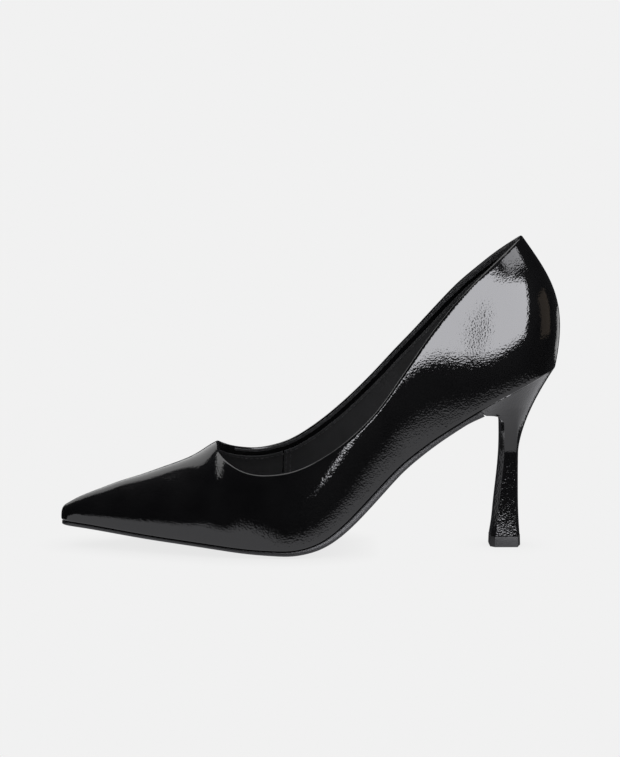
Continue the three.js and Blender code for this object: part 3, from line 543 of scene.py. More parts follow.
def shade(tree, factor, stops):
    """Colour ramp from (position, hex colour) stops."""
    ramp = add_node(tree, "ShaderNodeValToRGB", {"Fac": factor})
    elements = ramp.color_ramp.elements
    while len(elements) < len(stops):
        elements.new(0.5)
    for element, (position, hex_colour) in zip(elements, stops):
        element.position = position
        element.color = linear(hex_colour)
    return ramp.outputs["Color"]


def lay_finish(material, tint, stops, reliefs, worn=None):
    """Colours a material by one pattern between its stops, and lays each relief over the one before, as
    (height, strength, millimetres). worn is the least and the most roughness, by the colour's pattern."""
    tree = material.node_tree
    shader = tree.nodes["Principled BSDF"]
    tree.links.new(shade(tree, tint, stops), shader.inputs["Base Color"])
    if worn:
        rubbed = add_node(tree, "ShaderNodeMapRange", {"Value": tint, "To Min": worn[0], "To Max": worn[1]})
        tree.links.new(rubbed.outputs["Result"], shader.inputs["Roughness"])
    below = {}
    for height, strength, millimetres in reliefs:
        bump = add_node(tree, "ShaderNodeBump", {
            "Height": height, "Strength": strength, "Distance": millimetres * MM, **below})
        below = {"Normal": bump.outputs["Normal"]}
    for socket in ("Normal", "Coat Normal"):
        tree.links.new(below["Normal"], shader.inputs[socket])
    return material


def patent_leather(name="patent leather", grain=1.0):
    """Calf leather under a cast polyurethane film: black, mirror-like, with the hide's grain just showing
    through as fine ripples at the edges of each reflection."""
    material, tree, place = start_finish(
        name, Roughness=0.5, Specular_IOR_Level=0.02, Coat_Weight=1.0, Coat_Roughness=0.02, Coat_IOR=1.5)
    hide = add_node(tree, "ShaderNodeTexNoise", {"Vector": place, "Scale": per_metre(14), "Detail": 3.0})
    # Real grain is 0.3 mm, too fine to show on a whole shoe: it is drawn at 0.9 mm.
    pores = add_node(tree, "ShaderNodeTexVoronoi", {"Vector": place, "Scale": per_metre(0.9)})
    ripple = add_node(tree, "ShaderNodeTexNoise", {
        "Vector": place, "Scale": per_metre(1.7), "Detail": 4.0, "Roughness": 0.6})
    # Where the leather was pulled over the last it is uneven on a scale of centimetres.
    pull = add_node(tree, "ShaderNodeTexNoise", {"Vector": place, "Scale": per_metre(22), "Detail": 1.0})
    return lay_finish(material, hide.outputs["Fac"], [(0.3, "#050506"), (0.7, "#0a0a0b")], [
        (pores.outputs["Distance"], 1.0, 0.022 * grain), (ripple.outputs["Fac"], 1.0, 0.035 * grain),
        (pull.outputs["Fac"], 1.0, 0.1)])


def grained_leather(name, dark, light, grain_mm, height_mm, roughness):
    """Drum-dyed sheep or pig skin with a pressed grain: matte, small rounded cells with dull creases."""
    material, tree, place = start_finish(
        name, Roughness=roughness, Specular_IOR_Level=0.35, Sheen_Weight=0.08, Sheen_Roughness=0.6)
    hide = add_node(tree, "ShaderNodeTexNoise", {"Vector": place, "Scale": per_metre(9), "Detail": 5.0})
    cells = add_node(tree, "ShaderNodeTexVoronoi", {"Vector": place, "Scale": per_metre(grain_mm)},
                     feature="SMOOTH_F1")
    pores = add_node(tree, "ShaderNodeTexNoise", {"Vector": place, "Scale": per_metre(0.35), "Detail": 2.0})
    return lay_finish(material, hide.outputs["Fac"], [(0.3, dark), (0.72, light)], [
        (cells.outputs["Distance"], 0.9, height_mm), (pores.outputs["Fac"], 0.5, height_mm / 2)],
        (roughness - 0.07, roughness + 0.07))


def suede():
    """Goat suede, buffed: a short nap that takes the light at its edges and shows where it was brushed."""
    material, tree, place = start_finish(
        "suede", Roughness=0.95, Specular_IOR_Level=0.15, Sheen_Weight=0.5, Sheen_Roughness=0.45)
    brushed = add_node(tree, "ShaderNodeTexNoise", {
        "Vector": place, "Scale": per_metre(7), "Detail": 6.0, "Distortion": 0.8})
    nap = add_node(tree, "ShaderNodeTexNoise", {"Vector": place, "Scale": per_metre(0.3), "Detail": 3.0})
    return lay_finish(material, brushed.outputs["Fac"], [(0.35, "#151516"), (0.7, "#242426")],
                      [(nap.outputs["Fac"], 0.8, 0.12)])


def moulded(name, dark, light, roughness, fleck_mm=0.6):
    """Injection-moulded resin or rubber: even colour with a faint flow mottle and a fine satin skin."""
    material, tree, place = start_finish(name, Roughness=roughness)
    flow = add_node(tree, "ShaderNodeTexNoise", {"Vector": place, "Scale": per_metre(18), "Detail": 3.0})
    skin = add_node(tree, "ShaderNodeTexNoise", {
        "Vector": place, "Scale": per_metre(fleck_mm), "Detail": 3.0})
    return lay_finish(material, flow.outputs["Fac"], [(0.3, dark), (0.7, light)],
                      [(skin.outputs["Fac"], 0.6, 0.015)], (roughness - 0.06, roughness + 0.08))


def fibre_board(name, dark, light, fibre_mm):
    """Pressed fibre or felted stuff: short fibres lying all ways, dry and slightly mottled."""
    material, tree, place = start_finish(name, Roughness=0.92, Specular_IOR_Level=0.2)
    fibres = add_node(tree, "ShaderNodeTexNoise", {
        "Vector": place, "Scale": per_metre(fibre_mm), "Detail": 8.0, "Roughness": 0.7, "Distortion": 1.4})
    return lay_finish(material, fibres.outputs["Fac"], [(0.32, dark), (0.68, light)],
                      [(fibres.outputs["Fac"], 0.7, 0.15)])


def open_foam():
    """Poured latex foam: pale, full of round open cells, each painted darker towards its middle as shade in
    its hollow.
    """
    material, tree, place = start_finish("latex foam", Roughness=0.95, Specular_IOR_Level=0.2)
    cells = add_node(tree, "ShaderNodeTexVoronoi", {"Vector": place, "Scale": per_metre(0.8)})
    # Painted shade: each cell's colour darkens towards its middle, where its relief sinks.
    return lay_finish(material, cells.outputs["Distance"], [(0.15, "#8f8875"), (0.5, "#d3cdbc")],
                      [(cells.outputs["Distance"], 0.8, 0.2)])


def woven_tape():
    """Narrow cotton tape in a plain weave: two sets of threads 0.5 mm apart, over and under each other,
    painted lighter where they cross and darker between them as shade of the weave.
    """
    material, tree, place = start_finish(
        "cotton tape", Roughness=0.9, Sheen_Weight=0.2, Sheen_Roughness=0.5)
    threads = [
        add_node(tree, "ShaderNodeTexWave", {"Vector": place, "Scale": per_metre(0.5) / WAVES},
                 bands_direction=way).outputs["Fac"]
        for way in ("X", "Z")
    ]
    weave_height_and_shade = add_node(tree, "ShaderNodeMath", {0: threads[0], 1: threads[1]}, operation="MULTIPLY")
    # Painted shade: the colour follows the weave's relief, lighter where the threads cross and darker
    # between them.
    return lay_finish(material, weave_height_and_shade.outputs["Value"], [(0.1, "#1d1d1f"), (0.8, "#333336")],
                      [(weave_height_and_shade.outputs["Value"], 0.8, 0.1)])


def drawn_steel():
    """Cold-drawn spring steel, oiled: die lines along the part and patches where the oil has dried."""
    material, tree, place = start_finish("spring steel", Metallic=1.0, Roughness=0.34)
    dried = add_node(tree, "ShaderNodeTexNoise", {"Vector": place, "Scale": per_metre(6), "Detail": 4.0})
    stretched = add_node(tree, "ShaderNodeMapping", {"Vector": place, "Scale": (30.0, 600.0, 600.0)})
    lines = add_node(tree, "ShaderNodeTexNoise", {
        "Vector": stretched.outputs["Vector"], "Scale": 4.0, "Detail": 2.0})
    return lay_finish(material, dried.outputs["Fac"], [(0.3, "#85888c"), (0.7, "#a5a8ac")],
                      [(lines.outputs["Fac"], 0.3, 0.02)], (0.25, 0.46))


def sewing_thread():
    """Bonded polyester thread, three plies: a soft lustre from its sheen, broken by the twist, whose crests
    are painted lighter and grooves darker as painted highlight and shade.
    """
    material, tree, place = start_finish(
        "sewing thread", Roughness=0.5, Sheen_Weight=0.3, Sheen_Roughness=0.4)
    twist = add_node(tree, "ShaderNodeTexWave", {"Vector": place, "Scale": per_metre(0.5) / WAVES},
                     bands_direction="DIAGONAL")
    # Painted highlight and shade: the colour follows the twist's relief, lighter on the crests and darker in
    # the grooves.
    return lay_finish(material, twist.outputs["Fac"], [(0.1, "#0c0c0d"), (0.8, "#222224")],
                      [(twist.outputs["Fac"], 0.5, 0.04)])


PATENT = patent_leather()
HEEL_PATENT = patent_leather("patent heel wrap", grain=2.0)
LINING = grained_leather("lining leather", "#141415", "#1f1f21", 0.8, 0.05, 0.72)
INSOCK = grained_leather("insock leather", "#161617", "#202022", 1.1, 0.06, 0.62)
SUEDE = suede()
SOLE = moulded("outsole resin", "#19191b", "#202023", 0.36)
TIP = moulded("tip polyurethane", "#141415", "#1c1c1e", 0.5, fleck_mm=0.4)
ABS = moulded("heel ABS", "#1b1b1d", "#232326", 0.45)
STIFFENER = fibre_board("stiffener board", "#a08a68", "#bfab8a", 2.0)
BOARD = fibre_board("insole board", "#7d6449", "#98795a", 2.5)
CORK = fibre_board("cork filler", "#6f5236", "#ab8458", 1.6)
FOAM = open_foam()
TAPE = woven_tape()
STEEL = drawn_steel()
THREAD = sewing_thread()


# ---- Upper -----------------------------------------------------------------------
def make_upper():
    """One piece of patent leather: turned under the foot, folded in at the topline, sewn at the back."""
    groove = seam_groove(RING)[:, None]
    face = corner_and_wall(RING, RIM, np.repeat(groove, WALL_COLUMNS, axis=1), 0.0)
    shares = RIM[:, None] * np.linspace(0, 1, WALL_COLUMNS)[None, :]
    near = distance_to_topline(wall(RING, shares))
    fold = UPPER_T + (2 * LIP_R - UPPER_T) * (1 - smooth_step(near, FOLD_WIDTH, FOLD_WIDTH + 0.5))
    back = corner_and_wall(RING, RIM, fold, UPPER_T)
    normals = wall_normal(EDGE_STATIONS, RIM[open_rows][:, None])[:, 0]
    sides = curve_sides(EDGE, normals)
    sides *= np.sign(sides[:, 2].sum())
    sides[[0, -1]] = (1, 0, 0)
    out = np.zeros((len(RING), 3))
    out[open_rows] = sides
    return sheet_piece("upper_leather", face, back, PATENT, top_out=out, open_top=RING_CLOSED, closed=True,
                       smooth_angle=60)


# ---- Lining, insock and pads -----------------------------------------------------
JOINT_GAP = 0.03


def lining_top(station):
    """Share of each row's profile up to the lining's edge, the fold's width under the topline."""
    rim = rim_share(station)

    def over(share):
        p = wall(station, share[:, None])[:, 0]
        return FOLD_WIDTH - distance_to_topline(p)

    found = bisect(over, 0.3 * rim, rim, steps=22)
    return np.where(over(rim) < 0, 1.0, found)


def lining_throat():
    """Station where the lining's edge crosses the ridge of the vamp."""
    low, high = np.array([THROAT - 2.0]), np.array([float(THROAT)])

    def over(station):
        return FOLD_WIDTH - distance_to_topline(wall(station, np.ones((1, 1))))[:, 0]

    return float(bisect(over, low, high)[0])


def lining_depth(station, shares):
    """The lining lies on the fold at its edge and sinks to its own depth below it."""
    near = distance_to_topline(wall(station, shares)) - FOLD_WIDTH
    return LINING_DEPTH + LINING_SINK * smooth_step(near, *SINK_RUN)


def on_lining(station, shares, over=0.0):
    """Points on the lining's face, or on what covers it."""
    return wall(station, shares, lining_depth(station, shares) + LINING_T + over)


def lining_grids(station, columns=40):
    """Face and back of the lining, from its margin under the foot up to its edge."""
    top = lining_top(station)
    depths = lining_depth(station, wall_shares(station, top, columns))
    face = corner_and_wall(station, top, depths + LINING_T, LINING_LIFT + LINING_T, columns)
    back = corner_and_wall(station, top, depths, LINING_LIFT, columns)
    return face, back


def make_vamp_lining():
    """Two halves, welded along the ridge of the vamp and free round the throat."""
    throat = lining_throat()
    closed = np.arange(LINING_START, throat - 0.05, 0.15)
    turn = throat + 1.4 * np.linspace(0, 1, 15) ** 2
    side = np.arange(turn[-1] + 0.12, LINING_JOINT - JOINT_GAP - 0.05, 0.12)
    half = np.concatenate([closed, turn, side, [LINING_JOINT - JOINT_GAP]])
    on_ridge = half <= throat + 1e-9
    free = slice(int(on_ridge.sum()) - 1, None)
    halves = []
    for stations in (half, LOOP - half):
        face, back = lining_grids(stations)
        normals = wall_normal(stations, lining_top(stations)[:, None])[free, 0]
        sides = unit(np.cross(unit(np.gradient(face[free, -1], axis=0)), normals))
        sides *= np.sign(sides[len(sides) // 2, 2])
        sides[0] = (1, 0, 0)
        out = np.zeros((len(half), 3))
        out[free] = sides
        halves.append(sheet_piece("vamp_lining_half", face, back, LINING, top_out=out, open_top=on_ridge,
                                  smooth_angle=60))
    return join_pieces("vamp_lining_leather", halves)


def join_pieces(name, parts):
    """One piece from several, welded where they meet."""
    made = bmesh.new()
    for part in parts:
        made.from_mesh(part.data)
    bmesh.ops.remove_doubles(made, verts=made.verts, dist=4e-6)
    bmesh.ops.recalc_face_normals(made, faces=made.faces)
    mesh = bpy.data.meshes.new(name)
    made.to_mesh(mesh)
    made.free()
    mesh.materials.append(parts[0].data.materials[0])
    mesh.shade_smooth()
    mesh.set_sharp_from_angle(angle=math.radians(60))
    for part in parts:
        bpy.data.objects.remove(part)
    piece = bpy.data.objects.new(name, mesh)
    bpy.context.scene.collection.objects.link(piece)
    return piece


def make_quarter_lining(name, inner):
    half = np.concatenate([np.arange(LINING_JOINT + JOINT_GAP, BACK - 0.2, 0.12), [BACK - 0.02]])
    station = LOOP - half if inner else half
    face, back = lining_grids(station)
    return sheet_piece(name, face, back, LINING, smooth_angle=60)


def both_sides(half):
    """Stations of one side up to the back, then on along the other side."""
    return np.concatenate([half, (LOOP - half[:-1])[::-1]])


def make_heel_grip():
    """Suede patch inside the back of the quarters, over the seam of the lining."""
    station = both_sides(np.linspace(GRIP_START, BACK, 26))
    rim = rim_share(station)
    away = np.abs(station - BACK) / (BACK - GRIP_START)
    rounded = 0.06 * away ** 6
    low = rim * (0.36 + rounded)
    high = rim * (0.90 - rounded)
    shares = low[:, None] + (high - low)[:, None] * np.linspace(0, 1, 30)[None, :]
    return sheet_piece("heel_grip_suede", on_lining(station, shares, GRIP_T),
                       on_lining(station, shares, -0.02), SUEDE, smooth_angle=60)


def across_rows(station, edge_inset, lift, count=25):
    """Points under the foot from the outer edge over the middle to the inner edge."""
    sides = []
    for s in (station, LOOP - station):
        reach = profile(s)["reach"][:, None]
        inset = np.minimum(edge_inset(s)[:, None], 0.95 * reach)
        insets = inset + np.linspace(0, 1, count)[None, :] * (reach - inset)
        sides.append(sole_point(s, insets, lift(insets)))
    return np.concatenate([sides[0], sides[1][:, -2::-1]], axis=1)


def padded_loops(station, edge_inset, bottom, top, edge_r):
    """Loops of a flat pad with a rounded edge: over its top, then back under it."""
    def top_lift(insets):
        away = insets - insets[:, :1]
        return top - edge_r * (1 - np.sqrt(np.clip(1 - (1 - np.minimum(away / edge_r, 1)) ** 2, 0, 1)))

    def bottom_lift(insets):
        return np.full(insets.shape, float(bottom))

    over = across_rows(station, edge_inset, top_lift)
    under = across_rows(station, edge_inset, bottom_lift)
    return np.concatenate([over, under[:, ::-1]], axis=1)


def inside_reach(station, lift, depth):
    """How far outside the featherline the lining's face stands at this height over the sole."""
    row = profile(station)
    up = up_at(row["foot"][:, 0])

    def from_foot(share):
        return wall(station, share[:, None], np.full((len(station), 1), depth))[:, 0] - row["foot"]

    share = bisect(lambda tried: np.sum(from_foot(tried) * up, axis=-1) - lift,
                   np.full(len(station), 0.0), np.full(len(station), 0.5))
    return np.sum(from_foot(share)[:, :2] * row["out"][:, :2], axis=-1)


def make_insock():
    """Leather sock over the foam, reaching the lining all round."""
    station = np.concatenate([np.arange(INSOCK_START, BACK - 0.1, 0.2), [BACK]])

    def edge(s):
        # The sock is cut a little short in the last stations of the toe.
        toe = 0.7 * np.maximum(0, 8 - np.minimum(s, LOOP - s))
        return -inside_reach(s, INSOCK_LIFT, INSOCK_DEPTH) + toe

    loops = padded_loops(station, edge, INSOCK_LIFT, INSOCK_TOP, 0.8)
    return tube_piece("insock_leather", loops, INSOCK, end_cap=False, smooth_angle=50)


def make_pad(name, first, last, inset, end_cap=True):
    """Foam pad between two stations, its edge this far inside the featherline."""
    station = np.concatenate([np.arange(first, last - 0.05, 0.2), [last]])
    loops = padded_loops(station, lambda s: np.full(len(s), float(inset)), PAD_BOTTOM, PAD_TOP, 0.9)
    return tube_piece(name, loops, FOAM, end_cap=end_cap, smooth_angle=50)


# ---- Bottom ----------------------------------------------------------------------
def make_outsole():
    """Moulded outsole with a squared edge, its tread pressed flat on the ground."""
    half = np.concatenate([np.linspace(0, 3, 40), np.arange(3.1, HEEL_WING_STATION - 0.06, 0.12),
                           [HEEL_WING_STATION - 0.004]])
    foot_x = profile(half)["foot"][:, 0]
    thickness = OUTSOLE_T + WAIST_SWELL * waist_swell(foot_x / GRADE_X)
    # The end thickens into the arch of the heel breast, and still does so where the heel takes over.
    end = foot_x.max()
    thickness += 1.2 * ARCH_LIP * smooth_step(foot_x, end - ARCH_RUN, end + ARCH_RUN / 3)
    # Edge section as (inset over the edge line, share of the thickness below the joint).
    edge = [(0.15, 0.0), (0.0, 0.06), (-0.1, 0.16), (-0.1, 0.5), (-0.05, 0.8), (0.1, 0.94), (0.4, 1.0)]

    def side(s):
        reach = profile(s)["reach"][:, None]
        insets = [np.full((len(s), 1), SOLE_INSET + inset) for inset, _ in edge]
        lifts = [-CLEARANCE - (thickness - CLEARANCE)[:, None] * share for _, share in edge]
        for share in np.linspace(0, 1, 15)[1:]:
            insets.append(SOLE_INSET + 0.4 + share * (reach - SOLE_INSET - 0.4))
            lifts.append(-thickness[:, None])
        inset = np.minimum(np.concatenate(insets, axis=1), reach)
        return sole_point(s, inset, np.concatenate(lifts, axis=1))

    def cover(s):
        reach = profile(s)["reach"][:, None]
        inset = SOLE_INSET + 0.25 + np.linspace(0, 1, 15)[None, 1:] * (reach - SOLE_INSET - 0.25)
        return sole_point(s, inset, np.full(inset.shape, -CLEARANCE))

    bottom = np.concatenate([side(half), side(LOOP - half)[:, -2::-1]], axis=1)
    top = np.concatenate([cover(half), cover(LOOP - half)[:, -2::-1]], axis=1)
    loops = np.concatenate([bottom, top[:, ::-1]], axis=1)
    loops[..., 2] = np.maximum(loops[..., 2], 0)
    return tube_piece("outsole_resin", loops, SOLE, start_cap=False, smooth_angle=38)


# ---- Heel ------------------------------------------------------------------------
# Sections of the heel's shaft as (height, front, back, half width).
SHAFT_SECTIONS = [
    (5.5, 210.6, 225.2, 7.3), (12, 211.5, 224.7, 6.7), (20, 212.2, 224.3, 6.2), (30, 213.2, 224.1, 5.9),
    (42, 214.3, 224, 5.8), (54, 214.8, 224.1, 6.1), (70, 214.8, 224.3, 6.6),
]
shaft_front, shaft_back, shaft_half = (
    curve_through([(section[0], section[k]) for section in SHAFT_SECTIONS]) for k in (1, 2, 3)
)
DRAWN_SEAT_Z = 87.4  # height of the seat's back over which the shaft's sections are drawn
LEVEL = DRAWN_SEAT_Z / float(feather_z(np.array(GRADE_X * 241.0)))
HEEL_FOOT = TIP_HEIGHT + CLEARANCE
CORNER = 0.36  # share of the half ring that the breast takes, up to the corner of the wing
FACE_END = 0.22  # share of it that is the flat front, up to its bevel
FACE_SHARE = 0.72  # width of the flat front against the whole width
BEVEL = 2.2
ARCH_DROP = 6.0  # height of the breast's arch under the outsole
ARCH_SQUARE = 2.6  # 2 is an ellipse, more is squarer
FLARE_X, FLARE_Y = 1.65, 1.7  # powers by which the seat's outline narrows into the shaft


def shaft_point(turn, z, side):
    level = z * LEVEL
    front = shaft_front(level) + SHAFT_SHIFT
    back = shaft_back(level) + SHAFT_SHIFT
    depth = back - front
    bevel_end = 2 * BEVEL / depth - 1
    # Behind its bevel the section is a rounded box that grows rounder to the back.
    around = np.clip((turn - CORNER) / (1 - CORNER), 0, 1)
    squareness = 0.3 + 0.62 * smooth_step(around, 0.1, 0.65)
    first = math.pi - np.arccos(np.clip(-bevel_end, 0, 1) ** (1 / 0.3))
    angle = first + (math.pi - first) * around
    cosine, sine = np.cos(angle), np.sin(angle)
    u = -np.sign(cosine) * np.abs(cosine) ** squareness
    v = np.abs(sine) ** squareness
    face = np.clip(turn / FACE_END, 0, 1)
    bevel = np.clip((turn - FACE_END) / (CORNER - FACE_END), 0, 1)
    in_front = turn < CORNER
    u = np.where(in_front, -1 + (bevel_end + 1) * bevel, u)
    v = np.where(in_front, FACE_SHARE * face + (1 - FACE_SHARE) * bevel, v)
    return points((front + back) / 2 + depth / 2 * u, -side * shaft_half(level) * v, z)


def seat_points(turn, side):
    """Top edge of the heel: across the breast, then along the featherline to the back."""
    sign = np.where(side > 0, 1.0, -1.0)
    wing = profile(sign * HEEL_WING_STATION)["foot"]
    other = profile(-sign * HEEL_WING_STATION)["foot"]
    middle_y = (wing[:, 1] + other[:, 1]) / 2
    share = np.clip(turn / CORNER, 0, 1)
    breast = points(wing[:, 0], middle_y + (wing[:, 1] - middle_y) * share, 0)
    along = np.clip((turn - CORNER) / (1 - CORNER), 0, 1)
    row = profile(sign * (HEEL_WING_STATION + (BACK - HEEL_WING_STATION) * along))
    seat = row["foot"] - row["out"] * SOLE_INSET
    return np.where((turn < CORNER)[:, None], breast, seat)


def breast_outline(z):
    """Front outline of the heel: square to the outsole's end, then an arch down into the shaft."""
    wing_x = float(profile(np.array([HEEL_WING_STATION]))["foot"][0, 0])
    top = float(feather_z(wing_x)) - CLEARANCE
    behind = slope_at(wing_x) * np.clip(top - z, 0, 1.3 * OUTSOLE_T)
    fallen = np.clip((top - OUTSOLE_T - ARCH_LIP - z) / ARCH_DROP, 0, 1)
    arch = (1 - (1 - fallen) ** ARCH_SQUARE) ** (1 / ARCH_SQUARE)
    front = shaft_front(z * LEVEL) + SHAFT_SHIFT
    return front + (wing_x + behind - front) * (1 - arch)


def heel_columns(turn, side, levels):
    """Outside of the heel, (turns, levels): the seat's outline shrinks into the shaft on the way down."""
    top = seat_points(turn, side)
    top_z_at = feather_z(top[:, 0]) - CLEARANCE
    neck = NECK_HEIGHT / LEVEL
    z = top_z_at[:, None] + (HEEL_FOOT - top_z_at)[:, None] * levels[None, :]

    def flare(over, power):
        return (1 - np.clip((over - z) / (over - neck), 0, 1)) ** power

    # Each column keeps its share of the way from the front outline to the back outline.
    last = seat_points(np.ones(1), np.ones(1))[0]
    shaft = shaft_point(turn[:, None], z, side[:, None])
    shaft_x0 = shaft_front(z * LEVEL) + SHAFT_SHIFT
    shaft_x1 = shaft_back(z * LEVEL) + SHAFT_SHIFT
    back_x = shaft_x1 + (last[0] - shaft_x1) * flare(feather_z(last[0]) - CLEARANCE, FLARE_X)
    wing_x = top[:, 0].min()
    share_top = (top[:, :1] - wing_x) / (last[0] - wing_x)
    share_shaft = (shaft[..., 0] - shaft_x0) / (shaft_x1 - shaft_x0)
    share = share_shaft + (share_top - share_shaft) * flare(top_z_at[:, None], FLARE_X)
    # The arch only shapes the breast: further back the front outline counts as a plain flare.
    plain_x = shaft_x0 + (wing_x - shaft_x0) * flare(feather_z(wing_x) - CLEARANCE, FLARE_X)
    front_x = plain_x + (breast_outline(z) - plain_x) * (1 - smooth_step(share, 0.0, 0.7))
    x = front_x + (back_x - front_x) * share
    y = shaft[..., 1] + (top[:, 1:2] - shaft[..., 1]) * flare(feather_z(x) - CLEARANCE, FLARE_Y)
    return points(x, y, z)


def ring_turns(count):
    """Turns once round the heel, each with its side, from the middle of the breast over the back."""
    half = np.linspace(0, 1, count)
    turn = np.concatenate([half, half[-2:0:-1]])
    side = np.concatenate([np.ones(count), -np.ones(count - 2)])
    return turn, side


def make_heel_cover():
    """Patent leather wrapped round the heel and turned in at the seat."""
    turn, side = ring_turns(110)
    # Levels from the foot to the seat, closer where the neck flares and closest in the arch.
    levels = np.concatenate([
        np.linspace(1, 0.22, 70), np.linspace(0.215, 0.045, 60), np.linspace(0.0435, 0, 22)])
    face = heel_columns(turn, side, levels)
    normal = grid_normals(face)
    back = face - COVER_T * normal
    back[:, -1, 2] = feather_z(back[:, -1, 0]) - CLEARANCE
    face[:, -1] -= 0.35 * normal[:, -1]
    face[:, -2] -= 0.1 * normal[:, -2]
    up = np.zeros((len(turn), 3))
    up[:, 2] = 1
    return sheet_piece("heel_wrap_leather", face, back, HEEL_PATENT, top_out=up * 0.3, closed=True,
                       smooth_angle=24)


def make_heel_core():
    """Moulded heel block, which fills the wrap."""
    turn, side = ring_turns(80)
    levels = np.concatenate([np.linspace(1, 0.2, 50), np.linspace(0.195, 0.002, 50)])
    face = heel_columns(turn, side, levels)
    inner = face - (COVER_T + CLEARANCE) * grid_normals(face)
    inner[:, 0, 2] = HEEL_FOOT
    return tube_piece("heel_block_core", inner.transpose(1, 0, 2), ABS)


def grid_normals(grid):
    """Outward normals of a closed ring of columns."""
    around = np.roll(grid, -1, axis=0) - np.roll(grid, 1, axis=0)
    normal = unit(np.cross(around, np.gradient(grid, axis=1)))
    return normal * np.sign(np.sum(normal * (grid - grid.mean(axis=0))))


def make_top_piece():
    """Heel tip: a small block with softened edges, a little proud of the heel's foot."""
    turn, side = ring_turns(60)
    foot = SHAFT_SECTIONS[0][0]
    centre = np.array([(float(shaft_front(foot)) + float(shaft_back(foot))) / 2 + SHAFT_SHIFT, 0, 0])
    # Heights of its section, each with how far it stands out from the heel's outline.
    section = [(TIP_HEIGHT, -4.5), (TIP_HEIGHT, 0.05), (TIP_HEIGHT - 0.06, 0.16), (TIP_HEIGHT - 0.25, 0.2),
               (2.5, 0.28), (0.5, 0.36), (0.12, 0.34), (0.0, 0.22), (0.0, -4.5)]
    out = shaft_point(turn, np.full(len(turn), HEEL_FOOT), side) - centre
    out[:, 2] = 0
    length = np.linalg.norm(out, axis=1, keepdims=True)
    loops = np.stack([centre + out / length * (length + proud) for _, proud in section], axis=0)
    loops[..., 2] = np.array([z for z, _ in section])[:, None]
    return tube_piece("heel_tip_block", loops, TIP, smooth_angle=24)


# ---- Stitches --------------------------------------------------------------------
def stitch_tree():
    """Geometry nodes: stitches at an even pitch along a curve, each a slim rounded bar of thread."""
    tree = bpy.data.node_groups.new("stitch row", "GeometryNodeTree")
    sockets = {}
    for name, kind in (("Path", "Geometry"), ("Pitch", "Float"), ("Stitch length", "Float"),
                       ("Thread radius", "Float"), ("Thread", "Material")):
        made = tree.interface.new_socket(name, in_out="INPUT", socket_type="NodeSocket" + kind)
        sockets[name] = made.identifier
    tree.interface.new_socket("Stitches", in_out="OUTPUT", socket_type="NodeSocketGeometry")
    start = add_node(tree, "NodeGroupInput")
    spots = add_node(tree, "GeometryNodeCurveToPoints",
                     {"Curve": start.outputs["Path"], "Length": start.outputs["Pitch"]}, mode="LENGTH")
    thread = add_node(tree, "GeometryNodeMeshUVSphere", {"Segments": 8, "Rings": 6, "Radius": 1.0})
    half = add_node(tree, "ShaderNodeMath", {0: start.outputs["Stitch length"], 1: 0.5},
                    operation="MULTIPLY")
    radius = start.outputs["Thread radius"]
    size = add_node(tree, "ShaderNodeCombineXYZ", {"X": radius, "Y": radius, "Z": half.outputs["Value"]})
    turned = add_node(tree, "FunctionNodeAlignRotationToVector",
                      {"Vector": spots.outputs["Tangent"]}, axis="Z")
    laid = add_node(tree, "GeometryNodeInstanceOnPoints", {
        "Points": spots.outputs["Points"], "Instance": thread.outputs["Mesh"],
        "Rotation": turned.outputs["Rotation"], "Scale": size.outputs["Vector"]})
    real = add_node(tree, "GeometryNodeRealizeInstances", {"Geometry": laid.outputs["Instances"]})
    coloured = add_node(tree, "GeometryNodeSetMaterial", {
        "Geometry": real.outputs["Geometry"], "Material": start.outputs["Thread"]})
    add_node(tree, "NodeGroupOutput", {"Stitches": coloured.outputs["Geometry"]})
    return tree, sockets


STITCH_TREE, STITCH_SOCKETS = stitch_tree()


def sew(name, paths):
    """Rows of stitches along paths of points in millimetres, as one plain mesh."""
    curve = bpy.data.curves.new(name + "_path", "CURVE")
    curve.dimensions = "3D"
    for path in paths:
        spline = curve.splines.new("POLY")
        spline.points.add(len(path) - 1)
        placed = (np.asarray(path) + SHIFT) * MM
        spline.points.foreach_set("co", np.column_stack([placed, np.ones(len(path))]).ravel())
    holder = bpy.data.objects.new(name + "_path", curve)
    bpy.context.scene.collection.objects.link(holder)
    modifier = holder.modifiers.new("stitches", "NODES")
    modifier.node_group = STITCH_TREE
    for socket, value in (("Pitch", STITCH_PITCH * MM), ("Stitch length", STITCH_LENGTH * MM),
                          ("Thread radius", THREAD_R * MM), ("Thread", THREAD)):
        modifier[STITCH_SOCKETS[socket]] = value
    view = bpy.context.evaluated_depsgraph_get()
    mesh = bpy.data.meshes.new_from_object(holder.evaluated_get(view), depsgraph=view)
    mesh.name = name
    mesh.shade_smooth()
    bpy.data.objects.remove(holder)
    piece = bpy.data.objects.new(name, mesh)
    bpy.context.scene.collection.objects.link(piece)
    return piece


def make_stitches():
    """Thread along the lining's edge and beside the joints of the lining."""
    edge = np.arange(lining_throat() + 0.35, BACK - 0.05, 0.1)
    paths = []
    for s in (edge, LOOP - edge):
        top = lining_top(s)
        rate = np.linalg.norm(profile_rate(profile(s), top[:, None])[:, 0], axis=-1)
        paths.append(on_lining(s, (top - STITCH_INSET / rate)[:, None])[:, 0])
    for offset in (0.14, 0.34):
        for s in (LINING_JOINT + offset, LOOP - LINING_JOINT - offset):
            top = lining_top(np.array([s]))[0]
            paths.append(on_lining(np.array([s]), np.linspace(0.2 * top, 0.97 * top, 40)[None])[0])
    return sew("lining_stitches", paths)


